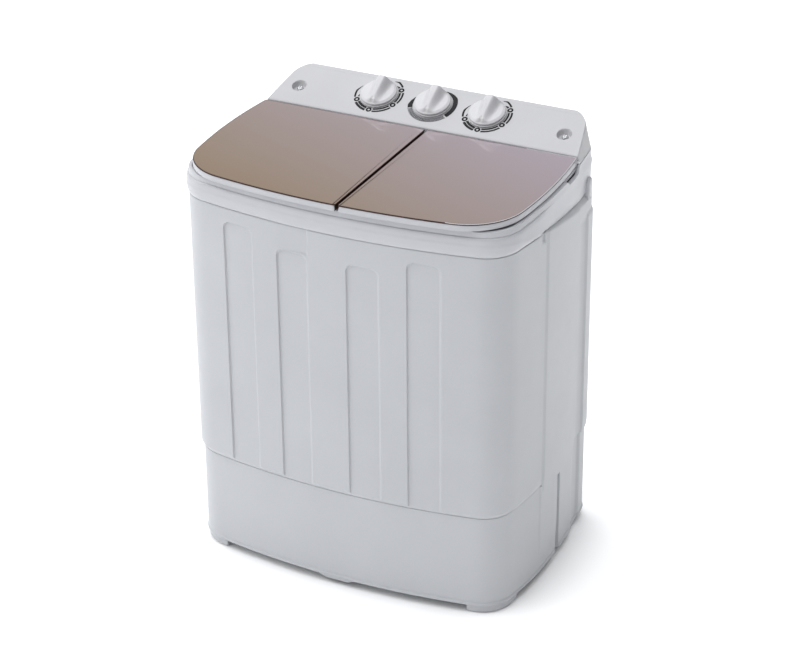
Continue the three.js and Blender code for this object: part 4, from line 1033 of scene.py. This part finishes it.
def perforated_wall(name, radius, low, high, pitch, hole):
    """A tube of sheet with rows of round holes, seen as cells that each carry one hole."""
    columns, rows = round(2 * math.pi * radius / pitch), round((high - low) / pitch)
    cell_u, cell_z = 2 * math.pi * radius / columns, (high - low) / rows
    border = np.array([(0, 0), (1, 0), (2, 0), (2, 1), (2, 2), (1, 2), (0, 2), (0, 1)])
    spread = np.radians(np.arange(-135, 225, 45))
    index, points, faces = {}, [], []

    def vertex(key, u, z):
        if key not in index:
            index[key] = len(points)
            angle = u / radius
            points.append((SPIN_AXIS[0] + radius * math.cos(angle),
                           SPIN_AXIS[1] + radius * math.sin(angle), z))
        return index[key]

    for column in range(columns):
        for row in range(rows):
            rim, edge = [], []
            for k in range(8):
                i, j = 2 * column + border[k, 0], 2 * row + border[k, 1]
                rim.append(vertex((i % (2 * columns), j), i * cell_u / 2, low + j * cell_z / 2))
                u = (column + 0.5) * cell_u + hole * math.cos(spread[k])
                z = low + (row + 0.5) * cell_z + hole * math.sin(spread[k])
                edge.append(vertex((column, row, k), u, z))
            faces += [[rim[k], rim[(k + 1) % 8], edge[(k + 1) % 8], edge[k]] for k in range(8)]
    return mesh_object(name, points, faces)


def spin_basket(materials):
    """The spin basket: a perforated wall between a dished base with a hub and a rolled rim."""
    low, high = BASKET_LOW[2] + 6, BASKET_HIGH[2]
    radius = (BASKET_HIGH[0] - BASKET_LOW[0]) / 2 - 3
    wall = perforated_wall("basket_wall", radius - 0.2, low + 14, high - 14, 12.4, 2.9)
    thicken(wall, 1.6)
    base = rounded_profile([(5.4, low - 6, 0.3), (22, low - 6, 1), (30, low, 4), (radius - 6, low, 6),
                            (radius, low + 8, 5),
                            (radius, low + 14.5, 0.4), (radius - 2, low + 14.5, 0.4),
                            (radius - 2, low + 10, 4),
                            (radius - 10, low + 3, 6), (34, low + 6, 8), (14, low + 34, 5),
                            (5.4, low + 34, 1)])
    rim = rounded_profile([(radius, high - 14.5, 0.4), (radius, high - 8, 1), (radius + 3, high - 6, 1.5),
                           (radius + 3, high, 2), (radius - 6, high, 3), (radius - 4, high - 5, 2),
                           (radius - 2, high - 10, 2), (radius - 2, high - 14.5, 0.4)])
    parts = [wall, revolve("basket_base", base, *SPIN_AXIS), revolve("basket_rim", rim, *SPIN_AXIS)]
    made = join_meshes("basket_moulding", parts)
    return finish_piece(made, "spin_rotor", materials["blue"], "spin_basket")


def spin_inner_lid(materials):
    """The round safety lid over the spin basket: a stepped disc with a finger grip and a hinge tab."""
    x, y = SPIN_AXIS
    low, high, radius = INNER_LOW[2], INNER_LOW[2] + 3.0, (INNER_HIGH[0] - INNER_LOW[0]) / 2
    section = rounded_profile([(0.02, low, 0), (radius - 1, low, 0.6), (radius, low + 1, 0.6),
                               (radius, high - 1, 0.7),
                               (radius - 1, high, 0.6), (radius - 12, high, 0.6),
                               (radius - 13.5, high - 1.3, 0.6),
                               (62, high - 1.3, 0.6), (60.5, high, 0.6), (54, high, 0.6),
                               (52.5, high - 1.3, 0.6),
                               (20, high - 1.3, 0.6), (18.5, high, 0.6), (0.02, high, 0)])
    disc = revolve("lid_disc", section, x, y)
    tab = plate("lid_tab", [rounded_rectangle(x - 30, x + 30, 60, INNER_HIGH[1], 4)], low, high, 0.5)
    levels = ((0.0, -1.0), (0.0, 2.4), (0.5, 3.3), (1.4, 3.85), (2.4, 4.0))
    rings = []
    for inset, up in levels:
        outline = rounded_rectangle(x - 22 + inset, x + 22 - inset, -138 + inset, -130 - inset, 3.9 - inset)
        rings.append(np.column_stack([outline, np.full(len(outline), high + up)]))
    grip = capped_loft("lid_grip", rings)
    made = join_meshes("inner_lid_moulding", [disc, tab, grip])
    return finish_piece(made, "spin_inner_lid", materials["blue"], "spin_inner_lid")


def rear_screws(materials):
    """Cross-head screws round the rear service cover."""
    low, high = span("rear_service_cover")
    for x in (low[0] + 9, (low[0] + high[0]) / 2, high[0] - 9):
        for z in (low[2] + 9, high[2] - 9):
            head = revolve("rear_screw", [(0.02, -1.5), (3.6, -1.5), (3.8, 0.2), (3.2, 1.0), (1.6, 1.5),
                                          (1.2, 0.7),
                                          (0.02, 0.7)], sides=24)
            head.data.transform(Matrix.Translation(Vector((x, high[1],
                                                           z)) * MM) @ Matrix.Rotation(-math.pi / 2, 4, "X"))
            finish_piece(head, "cabinet", materials["steel"])


# ---------- materials for the CAD nodes that stay ----------
def dress_frame(materials):
    looks = {
        "steel": ["panel_screw_left", "panel_screw_right", "wash_motor_shaft", "pulsator_shaft",
                  "spin_shaft"],
        "top": ["wash_hinge_pin_outer", "middle_hinge_pin", "spin_hinge_pin_outer"],
        "zinc": ["drive_bracket", "wash_motor_stand", "brake_lever"],
        "cast": ["bearing_housing", "drive_pulley", "motor_pulley", "brake_drum"],
        "paint": ["wash_motor", "spin_motor"],
        "rubber": ["power_cord_gland", "drive_belt", "shaft_boot", "damper_front", "damper_left",
                   "damper_right",
                   "drain_valve_plug", "wash_drain_pipe", "spin_drain_pipe"],
        "black": ["wash_timer", "selector_switch", "spin_timer", "wash_control_shaft",
                  "selector_control_shaft",
                  "spin_control_shaft", "drain_valve_body", "capacitor"],
        "tub": ["wash_tub", "spin_outer_tub", "lint_channel"],
        "blue": ["spin_basket", "pulsator", "lint_filter", "spin_inner_lid"],
        "base": ["base_plate", "rear_service_cover", "drain_outlet_spigot"],
    }
    for look, names in looks.items():
        for name in names:
            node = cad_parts[name]
            node.data.materials.clear()
            node.data.materials.append(materials[look])


# ---------- stage ----------
def lobe(n, direction, wide, strength):
    """Light from one side of the studio, fading away from its direction."""
    dot = n.tree.nodes.new("ShaderNodeVectorMath")
    dot.operation = "DOT_PRODUCT"
    n.tree.links.new(n.tree.nodes["place"].outputs["Generated"], dot.inputs[0])
    dot.inputs[1].default_value = Vector(direction).normalized()
    fade = n.tree.nodes.new("ShaderNodeMapRange")
    fade.interpolation_type = "SMOOTHSTEP"
    n.tree.links.new(dot.outputs["Value"], fade.inputs["Value"])
    fade.inputs["From Min"].default_value, fade.inputs["From Max"].default_value = wide, 1.0
    fade.inputs["To Min"].default_value, fade.inputs["To Max"].default_value = 0.0, strength
    return fade.outputs["Result"]


class WorldNodes:
    def __init__(self, world):
        world.use_nodes = True
        self.tree = world.node_tree
        self.tree.nodes.new("ShaderNodeTexCoord").name = "place"

    def total(self, values, base):
        out = None
        for value in values:
            add = self.tree.nodes.new("ShaderNodeMath")
            add.operation = "ADD"
            self.tree.links.new(value, add.inputs[0])
            if out is None:
                add.inputs[1].default_value = base
            else:
                self.tree.links.new(out, add.inputs[1])
            out = add.outputs[0]
        return out


def make_stage():
    bpy.context.scene.view_settings.view_transform = "Standard"
    n = Nodes("stage_paper")
    # The floor glows, keeping it white and lighting the machine from below; its glow is dimmed by ambient occlusion
    # near the machine, a painted contact shadow.
    contact_shadow_ao = n.add("ShaderNodeAmbientOcclusion", Distance=0.09).outputs["AO"]
    n.set(Base_Color=(0.97, 0.97, 0.97, 1), Roughness=1.0, Specular_IOR_Level=0.0,
          Emission_Color=(1, 1, 1, 1), Emission_Strength=n.remap(contact_shadow_ao, 0.0, 0.26, 0.45, 1.0))
    bpy.ops.mesh.primitive_plane_add(size=40, location=(0, 0, -0.0003))
    floor = bpy.context.object
    floor.name = "stage_floor"
    floor.data.materials.append(n.material)
    world = bpy.data.worlds.new("studio")
    bpy.context.scene.world = world
    w = WorldNodes(world)
    glow = w.total([lobe(w, (-0.97, -0.2, 0.2), -0.1, 0.82), lobe(w, (-0.12, 0.05, 1), 0.4, 1.74),
                    lobe(w, (0.3, -1, 0.1), 0.4, 0.06)], 0.10)
    background = w.tree.nodes["Background"]
    background.inputs["Color"].default_value = (0.97, 0.98, 1.0, 1)
    w.tree.links.new(glow, background.inputs["Strength"])
    place, aim = Vector((-2.2, -1.2, 3.0)), Vector((0, 0, 0.4))
    light = bpy.data.lights.new("key_light", "AREA")
    light.size, light.energy = 2.4, 22
    lamp = bpy.data.objects.new("key_light", light)
    lamp.location = place
    lamp.rotation_euler = (aim - place).to_track_quat("-Z", "Y").to_euler()
    bpy.context.scene.collection.objects.link(lamp)


def build():
    make_camera()
    materials = make_materials()
    dress_frame(materials)
    cabinet_shell(materials)
    base_skirt(materials)
    feet(materials)
    top_collar(materials)
    side_lugs(materials)
    deck(materials)
    lid(-1, SEAM_LEFT, "wash_lid", "wash_lid", materials)
    lid(1, SEAM_RIGHT, "spin_lid", "spin_lid", materials)
    console_panel(materials)
    console_back(materials)
    for key, body in (("wash", "wash_timer_knob"), ("selector", "selector_knob"),
                      ("spin", "spin_timer_knob")):
        knob(key, KNOB_X[key], body, materials)
    timer_dial("wash", KNOB_X["wash"], materials)
    timer_dial("spin", KNOB_X["spin"], materials)
    selector_dial(KNOB_X["selector"], materials)
    pulsator(materials)
    spin_basket(materials)
    spin_inner_lid(materials)
    rear_screws(materials)
    make_stage()


build()
